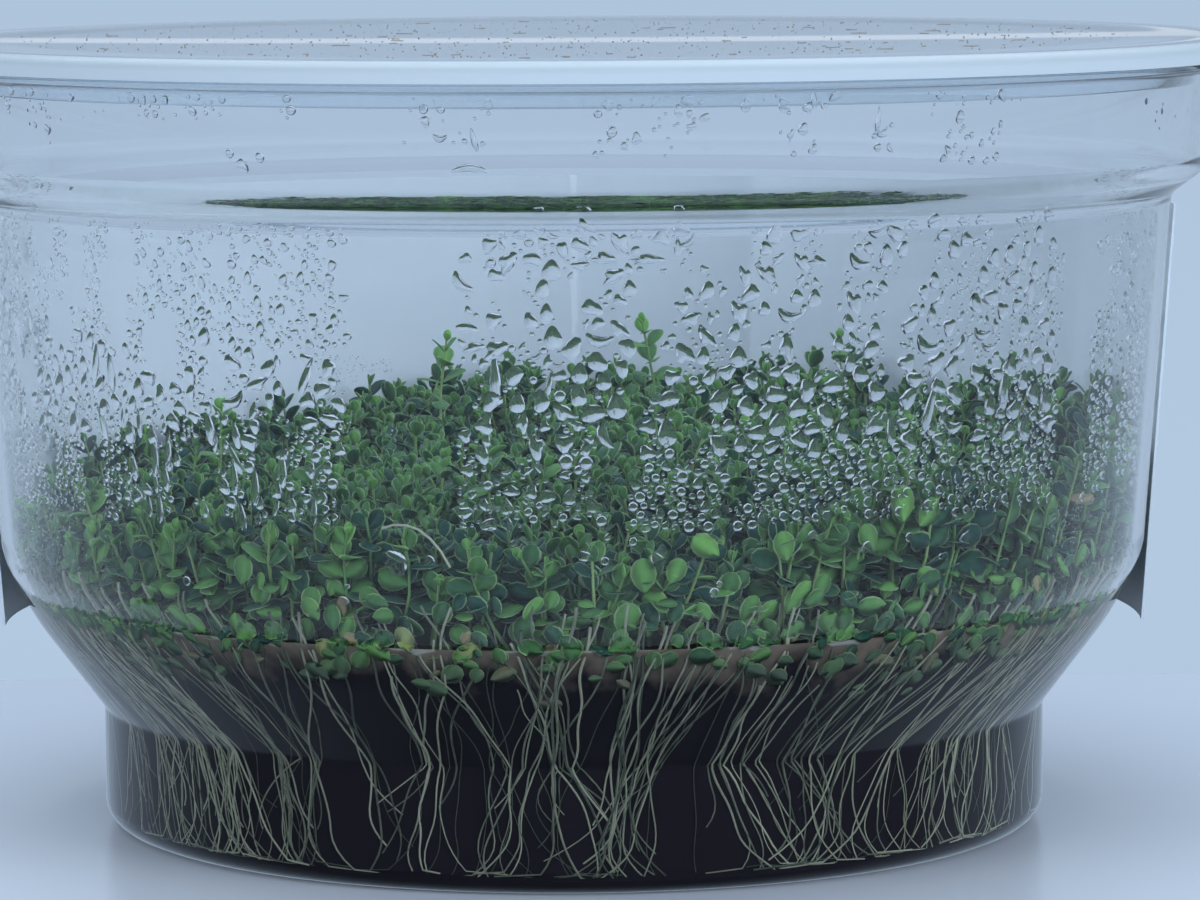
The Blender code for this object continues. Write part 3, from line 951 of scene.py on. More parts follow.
@dataclass
class LidDust:
    """Specks and fibres of dust that lie on the lid's plate."""

    lid: Lid
    seed: int = 5
    specks: int = 620
    fibres: int = 70
    fibre_r: float = 0.02 * MM
    reach: float = 48.0 * MM

    def build(self, trees: tuple[Tree, Tree], finish: Finish) -> None:
        """Builds the dust and fixes it to the part.

        Args:
            trees: the trees for shapes on points and for tubes on lines.
            finish: the dust's material.
        """
        rng = np.random.default_rng(self.seed)
        bm = bmesh.new()
        bmesh.ops.create_icosphere(bm, subdivisions=1, radius=0.5)
        places, lines = Places(), Lines()
        for _ in range(self.specks):
            r, a = self.reach * math.sqrt(rng.random()), rng.uniform(0, 360)
            size = rng.uniform(0.06, 0.2) * MM
            spot = round_place(a, r, self.lid.plate_top(r) + size * 0.2)
            places.add(spot, Matrix.Rotation(rng.uniform(0, 6), 3, "Z"), (size, size * 0.8, size * 0.5))
        with shape_set("speck", [kept(bm, "speck")]) as shapes:
            parts = [grown("dust_specks", places.mesh("specks"), trees[0], finish, Shapes=shapes)]
        for _ in range(self.fibres):
            r, a = self.reach * math.sqrt(rng.random()), rng.uniform(0, 360)
            start, heading = round_place(a, r, 0.0), rng.uniform(0, math.tau)
            bend, length = rng.uniform(-0.9, 0.9), rng.uniform(0.5, 2.2) * MM
            path = []
            for k in range(6):
                turn = heading + bend * k
                start = start + Vector((math.cos(turn), math.sin(turn), 0.0)) * length / 6
                path.append(Vector((start.x, start.y, self.lid.plate_top(start.xy.length) + 0.03 * MM)))
            lines.add(path, lambda share: self.fibre_r, 0.0)
        parts.append(grown("dust_fibres", lines.mesh("fibres"), trees[1], finish, Sides=4))
        seat(joined("lid_dust", parts), Slot.LID)


@dataclass
class Label:
    """The blank wrap round the rear: part of a cone that follows the body and hangs on below the shoulder."""

    cup: CupProfile
    top_z: float = 52.0 * MM
    low_z: float = 16.7 * MM
    thick: float = 0.2 * MM
    clear: float = 0.3 * MM
    start: float = -4.0
    sweep: float = 188.0
    steps: int = 120

    def inner_r(self, z: float) -> float:
        """Radius of the wrap's inner face at this height."""
        (high_r, high_z), (low_r, low_z) = self.cup.body_top, self.cup.shoulder
        return low_r + (z - low_z) * (high_r - low_r) / (high_z - low_z) + self.clear

    def build(self, finish: Finish) -> None:
        """Builds the wrap and fixes it to the part.

        Args:
            finish: the wrap's material.
        """
        inner = [(self.inner_r(z), z) for z in np.linspace(self.top_z, self.low_z, 9)]
        outer = [(r + self.thick, z) for r, z in reversed(inner)]
        piece = turned("label_wrap", [*inner, *outer], self.steps, self.start, self.sweep)
        dress(piece, finish)
        seat(piece, Slot.LABEL, "label")


@dataclass
class Gel:
    """The dark nutrient gel: it fills foot and cone, wets the wall and creeps up it in a thin meniscus.

    Its outer face lies a little within the wall, so that no air gap shows between the two.
    """

    cup: CupProfile
    depth: float = 0.5 * MM
    base_depth: float = 0.08 * MM
    top_z: float = 20.3 * MM
    creep: float = 0.4 * MM
    steps: int = 180

    def build(self, finish: Finish) -> None:
        """Builds the gel and fixes it to the part.

        Args:
            finish: the gel's material.
        """
        *_, cone_top, foot_top = self.cup.corners(self.depth)
        rim_z, low = self.top_z + self.creep, self.base_depth
        rim_r = float(self.cup.radius(self.depth, rim_z))
        foot_r = self.cup.foot_top[0] - self.depth
        inner_edge, outer_edge = self.cup.foot_edge_r - self.depth, self.cup.foot_edge_r - low
        middle = (foot_r - inner_edge, self.cup.foot_edge_r)
        rise = ((2.0 * MM, 0.0), (1.1 * MM, 0.04 * MM), (0.5 * MM, 0.14 * MM))
        profile = [(0.0, self.top_z), *((rim_r - back, self.top_z + up) for back, up in rise)]
        profile += [(rim_r - 0.15 * MM, rim_z - 0.1 * MM), (rim_r, rim_z)]
        profile += round_corner((rim_r, rim_z), cone_top, foot_top, 1.6 * MM, 5)
        profile += round_corner(cone_top, foot_top, (foot_r, low), 0.3 * MM, 4)
        profile += [*arc(middle, inner_edge, 0, -14, 3), *arc(middle, outer_edge, -26, -90, 6), (0.0, low)]
        piece = turned("gel_body", profile, self.steps)
        dress(piece, finish)
        seat(piece, Slot.GEL, "gel")


class LeafKind(Enum):
    """The leaf's habit, in the order in which the shapes are kept."""

    FLAT = 0
    CUPPED = 1
    YOUNG = 2
    DYING = 3


@dataclass(frozen=True)
class LeafShape:
    """One obovate leaf of unit length along X, its heel at the origin and its upper face towards +Z.

    Attributes:
        width: its width beside its length.
        cup: how far the margins rise beside the midrib.
        droop: how far the tip hangs.
        thick: its thickness at the midrib.
        outline: shares of its length, each with the share of its width there.
    """

    width: float
    cup: float
    droop: float
    thick: float = 0.07
    outline: tuple[Pair, ...] = ((0.08, 0.26), (0.27, 0.74), (0.51, 1.0), (0.76, 0.92), (0.94, 0.5))

    def mesh(self, name: str) -> Mesh:
        """Builds the leaf.

        Args:
            name: the mesh's name.

        Returns:
            A closed mesh whose rim attribute is 1 at the margin and 0 at the midrib.
        """
        bm = bmesh.new()
        rim = bm.verts.layers.float.new("rim")
        heel, tip = bm.verts.new((0.0, 0.0, 0.0)), bm.verts.new((1.0, 0.0, -self.droop))
        rows = []
        for along, spread in self.outline:
            half = 0.5 * self.width * spread
            arch = 0.25 * self.droop * math.sin(math.pi * along) - self.droop * along**2
            lift = self.cup * half**2 * 4
            corners = ((half, lift), (-half, lift), (0.0, self.thick / 2), (0.0, -self.thick / 2))
            left, right, over, under = (bm.verts.new((along, y, arch + up)) for y, up in corners)
            left[rim] = right[rim] = 1.0
            rows.append((left, over, right, under))
        heel[rim] = tip[rim] = 1.0
        for before, after in zip(rows, rows[1:]):
            for i in range(4):
                j = (i + 1) % 4
                bm.faces.new((before[i], before[j], after[j], after[i]))
        for i in range(4):
            j = (i + 1) % 4
            bm.faces.new((heel, rows[0][j], rows[0][i]))
            bm.faces.new((tip, rows[-1][i], rows[-1][j]))
        return kept(bm, name)


LEAF_SHAPES = {
    LeafKind.FLAT: LeafShape(width=0.74, cup=0.05, droop=0.06),
    LeafKind.CUPPED: LeafShape(width=0.77, cup=0.17, droop=0.0),
    LeafKind.YOUNG: LeafShape(width=0.70, cup=0.30, droop=-0.08, thick=0.10),
    LeafKind.DYING: LeafShape(width=0.62, cup=-0.35, droop=0.22, thick=0.06),
}


def outward_at(spot: Vector) -> Vector:
    """The level direction from the cup's axis to a place."""
    return Vector((spot.x, spot.y, 0.0)).normalized()


def leaf_axes(heading: Vector, turn: float, tilt: float, roll: float) -> Matrix:
    """Axes of a leaf on a stem.

    Args:
        heading: the stem's direction.
        turn: which way round the stem it points, in radians.
        tilt: how far it rises from square to the stem, in radians.
        roll: its turn about its own length, in radians.

    Returns:
        The leaf's X, Y and Z as columns.
    """
    across = heading.orthogonal().normalized()
    radial = across * math.cos(turn) + heading.cross(across) * math.sin(turn)
    along = radial * math.cos(tilt) + heading * math.sin(tilt)
    face = (heading * math.cos(tilt) - radial * math.sin(tilt)).normalized()
    axes = Matrix((along, face.cross(along), face)).transposed()
    return axes @ Matrix.Rotation(roll, 3, "X")


def facing(along: Vector, face: Vector) -> Matrix:
    """Axes of a leaf that lies against something.

    Args:
        along: the way that it runs, as nearly as it can.
        face: the way that its upper face looks.

    Returns:
        The leaf's X, Y and Z as columns.
    """
    face = face.normalized()
    along = (along - face * along.dot(face)).normalized()
    return Matrix((along, face.cross(along), face)).transposed()


@dataclass(frozen=True)
class Shoot:
    """One upright stem of the carpet.

    Attributes:
        base: its foot on the gel.
        tip: its top.
        pairs: how many pairs of leaves show.
        wall_gap: how far it stands from the wall.
        tint: how yellow its leaves are, 0 to 1.
    """

    base: Vector
    tip: Vector
    pairs: int
    wall_gap: float
    tint: float


@dataclass
class Carpet:
    """The leaf carpet: one round clump in the middle and a ring of clumps round it, each grown as one mass.

    Attributes:
        hills: x, y, width and height of each rise or dip, in millimetres.
        tall: x, y and tip of each tall shoot, in millimetres.
        pair_depths: how far under the tip each pair of leaves stands, in millimetres, with pair_tilts in
            degrees and pair_sizes in millimetres.
        sunk_patches: bearing, its spread, height in millimetres and number of leaves under the gel's line.
        wall_leaves: bearing, height and length in millimetres, lean in degrees and tint of single leaves.
        stray_stem: bearing and height in millimetres along one bare stem that lies on the wall.
    """

    cup: CupProfile
    seed: int = 11
    clumps: int = 6
    bed_z: float = 20.4 * MM
    centre_r: float = 17.0 * MM
    reach: float = 46.8 * MM
    top: float = 30.6 * MM
    slope: float = 0.035
    swell: float = 1.6 * MM
    swell_pitch: float = 15.0 * MM
    shoot_pitch: float = 2.75 * MM
    rim_gaps: Row = (1.1 * MM, 2.9 * MM, 4.9 * MM)
    rim_pitch: float = 2.3 * MM
    stem_r: float = 0.17 * MM
    press: float = 0.5 * MM
    wall_clear: float = 0.06 * MM
    wet_z: float = 21.0 * MM
    seam_wave: float = math.radians(6.0)
    open_gap: float = 9 * MM
    hills: tuple[Row, ...] = (
        (42, 8, 10, 4.0), (0.0, -46, 16, -2.4), (-46, -2, 13, -2.2),
        (-10, 38, 12, 1.4), (20, 30, 12, 1.6), (-4, 46, 34, 1.6),
    )
    tall: tuple[Row, ...] = (
        (5.5, 6.0, 41.5), (-11.0, 24.0, 38.5), (25.0, 21.0, 39.0), (27.5, -25.0, 36.0),
        (-30.0, -9.0, 36.0), (38.0, 12.0, 38.0), (-6.0, -30.0, 35.0),
    )
    pair_depths: Row = (0.15, 1.15, 2.45, 4.0, 5.7, 7.4, 9.2)
    pair_tilts: Row = (62.0, 44.0, 27.0, 14.0, 6.0, 2.0, -4.0)
    pair_sizes: Row = (1.2, 1.95, 2.4, 2.6, 2.55, 2.4, 2.2)
    low_leaves: int = 460
    line_leaves: int = 210
    seen_bearings: Pair = (-97.0, 97.0)
    sunk_patches: tuple[tuple[float, float, float, int], ...] = (
        (32.0, 7.0, 17.8, 22), (44.0, 6.0, 18.6, 16), (52.0, 5.0, 19.6, 10), (-27.0, 5.0, 18.2, 10),
        (-12.0, 4.0, 18.6, 9), (-40.0, 5.0, 19.4, 10), (-54.0, 6.0, 20.6, 40), (-46.0, 5.0, 18.2, 12),
        (60.0, 6.0, 20.2, 18), (3.0, 8.0, 19.2, 6), (120.0, 30.0, 15.6, 8), (210.0, 30.0, 15.6, 8),
    )
    wall_leaves: tuple[Row, ...] = (
        (32.8, 29.6, 3.1, 8.0, 0.95), (34.6, 29.2, 2.7, -38.0, 0.8), (29.5, 27.6, 2.4, 24.0, 0.6),
        (-32.7, 25.0, 2.5, -12.0, 0.55), (-24.5, 22.6, 2.2, 20.0, 0.6), (4.6, 22.0, 2.9, -18.0, 0.55),
        (6.9, 25.1, 2.8, 4.0, 0.6), (9.2, 25.8, 2.2, -26.0, 0.65), (13.9, 27.9, 2.6, 55.0, 0.9),
        (20.5, 27.2, 2.5, 12.0, 0.7), (23.4, 24.2, 2.1, -30.0, 0.5), (-2.4, 20.5, 2.3, 62.0, 0.3),
        (-0.1, 19.7, 2.4, -8.0, 0.35), (-15.4, 20.3, 2.5, 14.0, 1.55), (-17.5, 19.6, 2.6, 40.0, 0.7),
        (-11.1, 19.5, 2.6, -40.0, 1.6), (-7.9, 18.2, 2.3, -64.0, 1.75), (52.0, 22.6, 1.9, 30.0, 1.7),
        (49.0, 21.6, 1.6, -50.0, 1.8), (37.3, 18.4, 2.0, 70.0, 1.7), (40.5, 19.4, 1.7, -20.0, 1.6),
    )
    stray_stem: tuple[Pair, ...] = (
        (-17.5, 30.1), (-16.4, 30.4), (-15.2, 30.4), (-14.0, 30.1),
        (-12.9, 29.4), (-11.9, 28.4), (-11.1, 27.2),
    )

    def top_z(self, x: float, y: float) -> float:
        """Height of the carpet's leafy top.

        Args:
            x: the place from left to right.
            y: the place from front to back.

        Returns:
            The height there.
        """
        rises = (
            h * MM * math.exp(-(((x - hill_x * MM) ** 2 + (y - hill_y * MM) ** 2) / (w * MM) ** 2))
            for hill_x, hill_y, w, h in self.hills
        )
        swell = self.swell * noise.noise(Vector((x, y, 0.0)) / self.swell_pitch + Vector((0.0, 0.0, 3.7)))
        return self.top + self.slope * x + swell + sum(rises)

    def seam(self, index: int, r: float) -> float:
        """Direction of the seam before a clump, which wanders with the radius."""
        return math.tau * index / self.clumps + self.seam_wave * math.sin(index * 2.1 + r / (8.0 * MM))

    def clump_at(self, spot: Vector) -> int:
        """Finds the clump that a place belongs to.

        Args:
            spot: the place.

        Returns:
            The clump's number, 0 for the middle one.
        """
        r = math.hypot(spot.x, spot.y)
        turn = math.atan2(spot.y, spot.x) % math.tau
        after = (index for index in range(self.clumps + 1) if turn < self.seam(index, r))
        return 0 if r < self.centre_r else (next(after, 1) - 1) % self.clumps + 1

    def shoots(self, rng: Chance) -> Iterator[Shoot]:
        """All stems of the carpet: the inner field, the rings along the wall and the tall ones.

        Args:
            rng: the source of chance.

        Yields:
            Each stem.
        """
        inner_r = self.reach - self.rim_gaps[-1] - 0.6 * self.shoot_pitch
        row = self.shoot_pitch * math.sqrt(3) / 2
        count = int(inner_r / row) + 1
        for j in range(-count, count + 1):
            for i in range(-count - 2, count + 3):
                x = (i + 0.5 * (j % 2)) * self.shoot_pitch + rng.normal(0, 0.22) * self.shoot_pitch
                y = j * row + rng.normal(0, 0.22) * self.shoot_pitch
                if math.hypot(x, y) <= inner_r:
                    yield self.inner_shoot(x, y, self.top_z(x, y) + rng.normal(0, 0.8) * MM, rng)
        for gap in self.rim_gaps:
            around = int(math.tau * (self.reach - gap) / self.rim_pitch)
            for k in range(around):
                bearing = 360.0 * (k + rng.uniform(0.1, 0.9)) / around
                yield self.wall_shoot(bearing, gap * rng.uniform(0.8, 1.15), rng)
        for x, y, tip in ((c * MM for c in shoot) for shoot in self.tall):
            base = Vector((x, y, self.bed_z))
            yield Shoot(base, Vector((x + rng.normal(0, 0.6) * MM, y, tip)), 6, self.open_gap, 0.7)

    def inner_shoot(self, x: float, y: float, tip_z: float, rng: Chance) -> Shoot:
        """A stem of the inner field, of which only the upper leaves are made.

        Args:
            x: its place from left to right.
            y: its place from front to back.
            tip_z: height of its tip.
            rng: the source of chance.

        Returns:
            The stem.
        """
        lean = rng.normal(0, 0.9, 2) * MM
        tint = float(np.clip(rng.normal(0.24, 0.13), 0.0, 1.0))
        tip = Vector((x + lean[0], y + lean[1], tip_z))
        return Shoot(Vector((x, y, tip_z - 6.5 * MM)), tip, 4 if y < -10 * MM else 3, self.open_gap, tint)

    def wall_shoot(self, bearing: float, gap: float, rng: Chance) -> Shoot:
        """A stem that grows up along the wall, leafy from the gel up.

        Args:
            bearing: where it stands round the cup.
            gap: its distance from the wall.
            rng: the source of chance.

        Returns:
            The stem.
        """
        depth = self.cup.wall + gap
        spot = self.cup.spot(bearing, depth, 29 * MM)
        tip_z = self.top_z(spot.x, spot.y) + rng.normal(-0.4, 1.3) * MM
        base = self.cup.spot(bearing + rng.normal(0, 1.8), depth + 0.6 * MM, self.bed_z)
        most = len(self.pair_depths) if spot.y < 2 * MM else 4
        pairs = max(3, min(most, round((tip_z - self.bed_z) / (1.55 * MM))))
        tint = float(np.clip(rng.normal(0.42 - 0.07 * gap / MM, 0.26), 0.0, 1.0))
        return Shoot(base, self.cup.spot(bearing, depth, tip_z), pairs, gap, tint)

    def grow(self, shoot: Shoot, rng: Chance, leaves: Places, stems: Lines) -> None:
        """Grows one shoot.

        Args:
            shoot: the stem.
            rng: the source of chance.
            leaves: takes the leaves.
            stems: takes the stem.
        """
        axis = shoot.tip - shoot.base
        length = axis.length
        side = Vector(rng.normal(0, 1, 3)).cross(axis).normalized() * length * rng.uniform(-0.12, 0.12)

        def at(share: float) -> Vector:
            """The place at a share of the stem's length."""
            return shoot.base + axis * share + side * (4 * share * (1 - share))

        path = [at(k / 4) for k in range(5)]
        stems.add(path, lambda s: self.stem_r * (1.0 - 0.35 * s), rng.uniform(0.1, 0.9))
        first_turn, vigour = rng.uniform(0, math.tau), rng.uniform(0.84, 1.08)
        for k in range(shoot.pairs):
            share = 1 - self.pair_depths[k] * MM * vigour / length
            if share < 0.04:
                break
            heading = (at(min(1.0, share + 0.05)) - at(share - 0.05)).normalized()
            turn = first_turn + k * math.pi / 2 + rng.normal(0, 0.2)
            for half in (0.0, math.pi):
                size = self.pair_sizes[k] * MM * vigour * rng.uniform(0.86, 1.1)
                tilt = math.radians(self.pair_tilts[k] + rng.normal(0, 9))
                axes = leaf_axes(heading, turn + half, tilt, rng.normal(0, 0.28))
                spot = at(share)
                if shoot.wall_gap < 2.2 * MM and k and rng.random() < 0.6:
                    face = outward_at(spot) + Vector(rng.normal(0, 0.25, 3))
                    axes = facing(Vector(axes.col[0]) + Vector((0.0, 0.0, 0.35)), face)
                kind, tint = self.leaf_state(k, spot.z, shoot.tint, rng)
                leaves.add(spot, axes, (size, size * rng.uniform(0.92, 1.08), size), kind.value, tint)

    def leaf_state(self, pair: int, z: float, tint: float, rng: Chance) -> tuple[LeafKind, float]:
        """Kind and tint of a leaf.

        Args:
            pair: which pair it belongs to, 0 at the tip.
            z: its height.
            tint: its shoot's tint.
            rng: the source of chance.

        Returns:
            Its kind, and its tint, which is over 1 on a dying leaf.
        """
        low = z < self.bed_z + 2.0 * MM
        if pair and rng.random() < (0.03 if low else 0.004):
            return LeafKind.DYING, rng.uniform(1.5, 1.9)
        if pair == 0:
            return LeafKind.YOUNG, min(1.0, tint + rng.uniform(0.1, 0.35))
        kind = LeafKind.CUPPED if rng.random() < 0.45 else LeafKind.FLAT
        # Each pair lower down is deeper: partly older tissue, partly painted shade for the darker lower
        # carpet.
        return kind, float(np.clip(tint + rng.normal(0, 0.14) - 0.08 * pair, 0.0, 1.0))

    def litter(self, rng: Chance, leaves: list[Places]) -> None:
        """Adds the low leaves that fill the carpet's foot at the wall, and those sunk under the gel's line.

        Args:
            rng: the source of chance.
            leaves: takes the leaves, one set for each clump.
        """
        low, high = self.seen_bearings
        places = []
        for _ in range(self.low_leaves):
            places.append((rng.uniform(low, high), 20.2 + 4.6 * rng.random() ** 1.3, False))
        for _ in range(self.line_leaves):
            places.append((rng.uniform(low, high), 18.9 + 2.5 * rng.random(), True))
        for bearing, spread, z, count in self.sunk_patches:
            places += [(rng.normal(bearing, spread), rng.normal(z, 1.0), True) for _ in range(count)]
        for bearing, z_mm, wet in places:
            depth = rng.uniform(0.34, 0.42) * MM if wet else self.cup.wall + rng.uniform(0.15, 1.9) * MM
            spot, face = self.on_wall(bearing, depth, z_mm * MM)
            outward, lean = outward_at(spot), rng.normal(0, 1.2)
            along = (UP * math.cos(lean) + outward.cross(UP) * math.sin(lean)).normalized()
            if not wet:
                face = face + Vector(rng.normal(0, 0.35, 3)) if rng.random() < 0.6 else UP + outward * 0.6
            size = (rng.uniform(0.9, 2.5) if wet else rng.uniform(1.4, 2.5)) * MM
            dying = rng.random() < (0.1 if z_mm * MM < 21.5 * MM else 0.02)
            tint = rng.uniform(1.45, 1.9) if dying else rng.uniform(0.0, 0.7 if wet else 0.8)
            self.put(leaves, spot, facing(along, face), (size, size, size * (0.15 if wet else 1.0)), tint)
        for bearing, z_mm, length, lean, tint in self.wall_leaves:
            depth = self.cup.wall + 0.35 * MM if z_mm > 21.0 else 0.36 * MM
            spot, face = self.on_wall(bearing, depth, z_mm * MM)
            along = Matrix.Rotation(math.radians(lean), 3, outward_at(spot)) @ UP
            self.put(leaves, spot, facing(along, face), (length * MM, length * MM, length * 0.35 * MM), tint)

    def on_wall(self, bearing: float, depth: float, z: float) -> tuple[Vector, Vector]:
        """A place behind the wall's outer face.

        Args:
            bearing: where it is round the cup.
            depth: how far behind the face.
            z: its height.

        Returns:
            The place, and the way that the wall faces there.
        """
        step, spot = 0.5 * MM, self.cup.spot(bearing, depth, z)
        slope = -float(self.cup.radius(depth, z + step) - self.cup.radius(depth, z - step)) / (2 * step)
        outward = outward_at(spot)
        return spot, Vector((outward.x, outward.y, slope)).normalized()

    def put(self, leaves: list[Places], spot: Vector, axes: Matrix, size: Row, tint: float) -> None:
        """Gives a flat leaf, or a dying one where the tint is over 1, to the clump that it lies in."""
        kind = LeafKind.DYING if tint > 1.0 else LeafKind.FLAT
        leaves[self.clump_at(spot)].add(spot, axes, size, kind.value, tint)

    def undergrowth(self, index: int) -> Mesh:
        """The shaded mass of old stems and leaves deep in one clump, as a closed lumpy mound.

        Args:
            index: the clump's number.

        Returns:
            The mound.
        """
        bm = bmesh.new()
        bmesh.ops.create_grid(bm, x_segments=22, y_segments=18, size=1.0)
        rim = [e for e in bm.edges if e.is_boundary]
        sides = bmesh.ops.extrude_edge_only(bm, edges=rim)["geom"]
        low = [g for g in sides if isinstance(g, bmesh.types.BMVert)]
        low_edges = [g for g in sides if isinstance(g, bmesh.types.BMEdge) and g.is_boundary]
        outer_r, gap = self.reach - 5.2 * MM, 0.1 * MM
        for v in bm.verts:
            if index == 0:
                x = v.co.x * math.sqrt(1 - v.co.y**2 / 2) * (self.centre_r - gap)
                y = v.co.y * math.sqrt(1 - v.co.x**2 / 2) * (self.centre_r - gap)
            else:
                r = self.centre_r + gap + (outer_r - self.centre_r) * (v.co.y + 1) / 2
                start, end = self.seam(index - 1, r) + gap / r, self.seam(index, r) - gap / r
                turn = start + (end - start) * (v.co.x + 1) / 2
                x, y = r * math.cos(turn), r * math.sin(turn)
            lump = 1.1 * MM * noise.noise(Vector((x, y, 0.0)) / (1.9 * MM))
            v.co = (x, y, self.top_z(x, y) - 4.6 * MM + lump)
        for v in low:
            v.co.z = self.bed_z
        bmesh.ops.contextual_create(bm, geom=low_edges)
        made = kept(bm, "undergrowth")
        made.shade_smooth()
        return made

    def press_inside(self, mesh: Mesh) -> None:
        """Presses whatever grows past the wall flat against its inner face.

        Args:
            mesh: leaves or stems, changed in place.
        """
        places = np.empty(len(mesh.vertices) * 3)
        mesh.vertices.foreach_get("co", places)
        places = places.reshape(-1, 3)
        x, y, z = places.T
        r, corner_r = np.hypot(x, y), self.cup.inner_edge_r
        below = np.clip(self.cup.floor + corner_r - z, 0.0, corner_r)
        rounding = corner_r - np.sqrt(corner_r**2 - below**2)
        most = self.cup.radius(self.cup.wall + self.wall_clear, z) - rounding
        start = most - self.press
        over = np.maximum(r - start, 0.0)
        pressed = np.where(over > 0, start + self.press * (1 - np.exp(-over / self.press)), r)
        pressed = np.where(z < self.wet_z, np.minimum(r, self.cup.radius(0.25 * MM, z)), pressed)
        places[:, :2] *= (pressed / np.maximum(r, 1e-9))[:, None]
        mesh.vertices.foreach_set("co", places.ravel())
        mesh.update()

    def build(self, trees: tuple[Tree, Tree], finishes: Sequence[Finish], roots: Roots) -> None:
        """Builds every clump and fixes it to the part.

        Args:
            trees: the trees for shapes on points and for tubes on lines.
            finishes: materials of leaves, stems, roots and undergrowth.
            roots: the root strands, which are shared out among the clumps.
        """
        rng = np.random.default_rng(self.seed)
        numbers = range(self.clumps + 1)
        leaves = [Places() for _ in numbers]
        stems, strands = ([Lines() for _ in numbers] for _ in range(2))
        for shoot in self.shoots(rng):
            index = self.clump_at(shoot.base)
            self.grow(shoot, rng, leaves[index], stems[index])
        self.litter(rng, leaves)
        path = [self.cup.spot(b, self.cup.wall + 0.25 * MM, z * MM) for b, z in self.stray_stem]
        strands[self.clump_at(path[-1])].add(path, lambda share: 0.1 * MM, 0.0)
        roots.grow(self, strands)
        leaf, stem, root, under = finishes
        with shape_set("leaf", (LEAF_SHAPES[k].mesh(f"leaf_{k.name.lower()}") for k in LeafKind)) as shapes:
            for index in numbers:
                name = f"clump_{index}" if index else "clump_centre"
                parts = [grown(f"{name}_leaves", leaves[index].mesh("leaves"), trees[0], leaf, Shapes=shapes)]
                parts.append(grown(f"{name}_stems", stems[index].mesh("stems"), trees[1], stem, Sides=5))
                for part in parts:
                    self.press_inside(part.data)
                if index:
                    lines = strands[index].mesh("roots")
                    parts.append(grown(f"{name}_roots", lines, trees[1], root, Sides=6))
                parts.append(link(f"{name}_undergrowth", self.undergrowth(index)))
                dress(parts[-1], under)
                seat(joined(f"{name}_plants", parts), Slot.PLANT, name)


@dataclass(frozen=True)
class Bundle:
    """A bundle of roots that gathers down the cone and fans down the foot.

    Attributes:
        ring: bearing at the ring where the cone meets the foot.
        head: bearing of its upper ends beside that.
        count: number of strands.
        top_spread: how far the upper ends lie apart, in degrees.
        foot_spread: how far the lower ends lie apart, in degrees.
        foot: bearing of the lower ends beside the ring's.
    """

    ring: float
    head: float
    count: int
    top_spread: float
    foot_spread: float
    foot: float


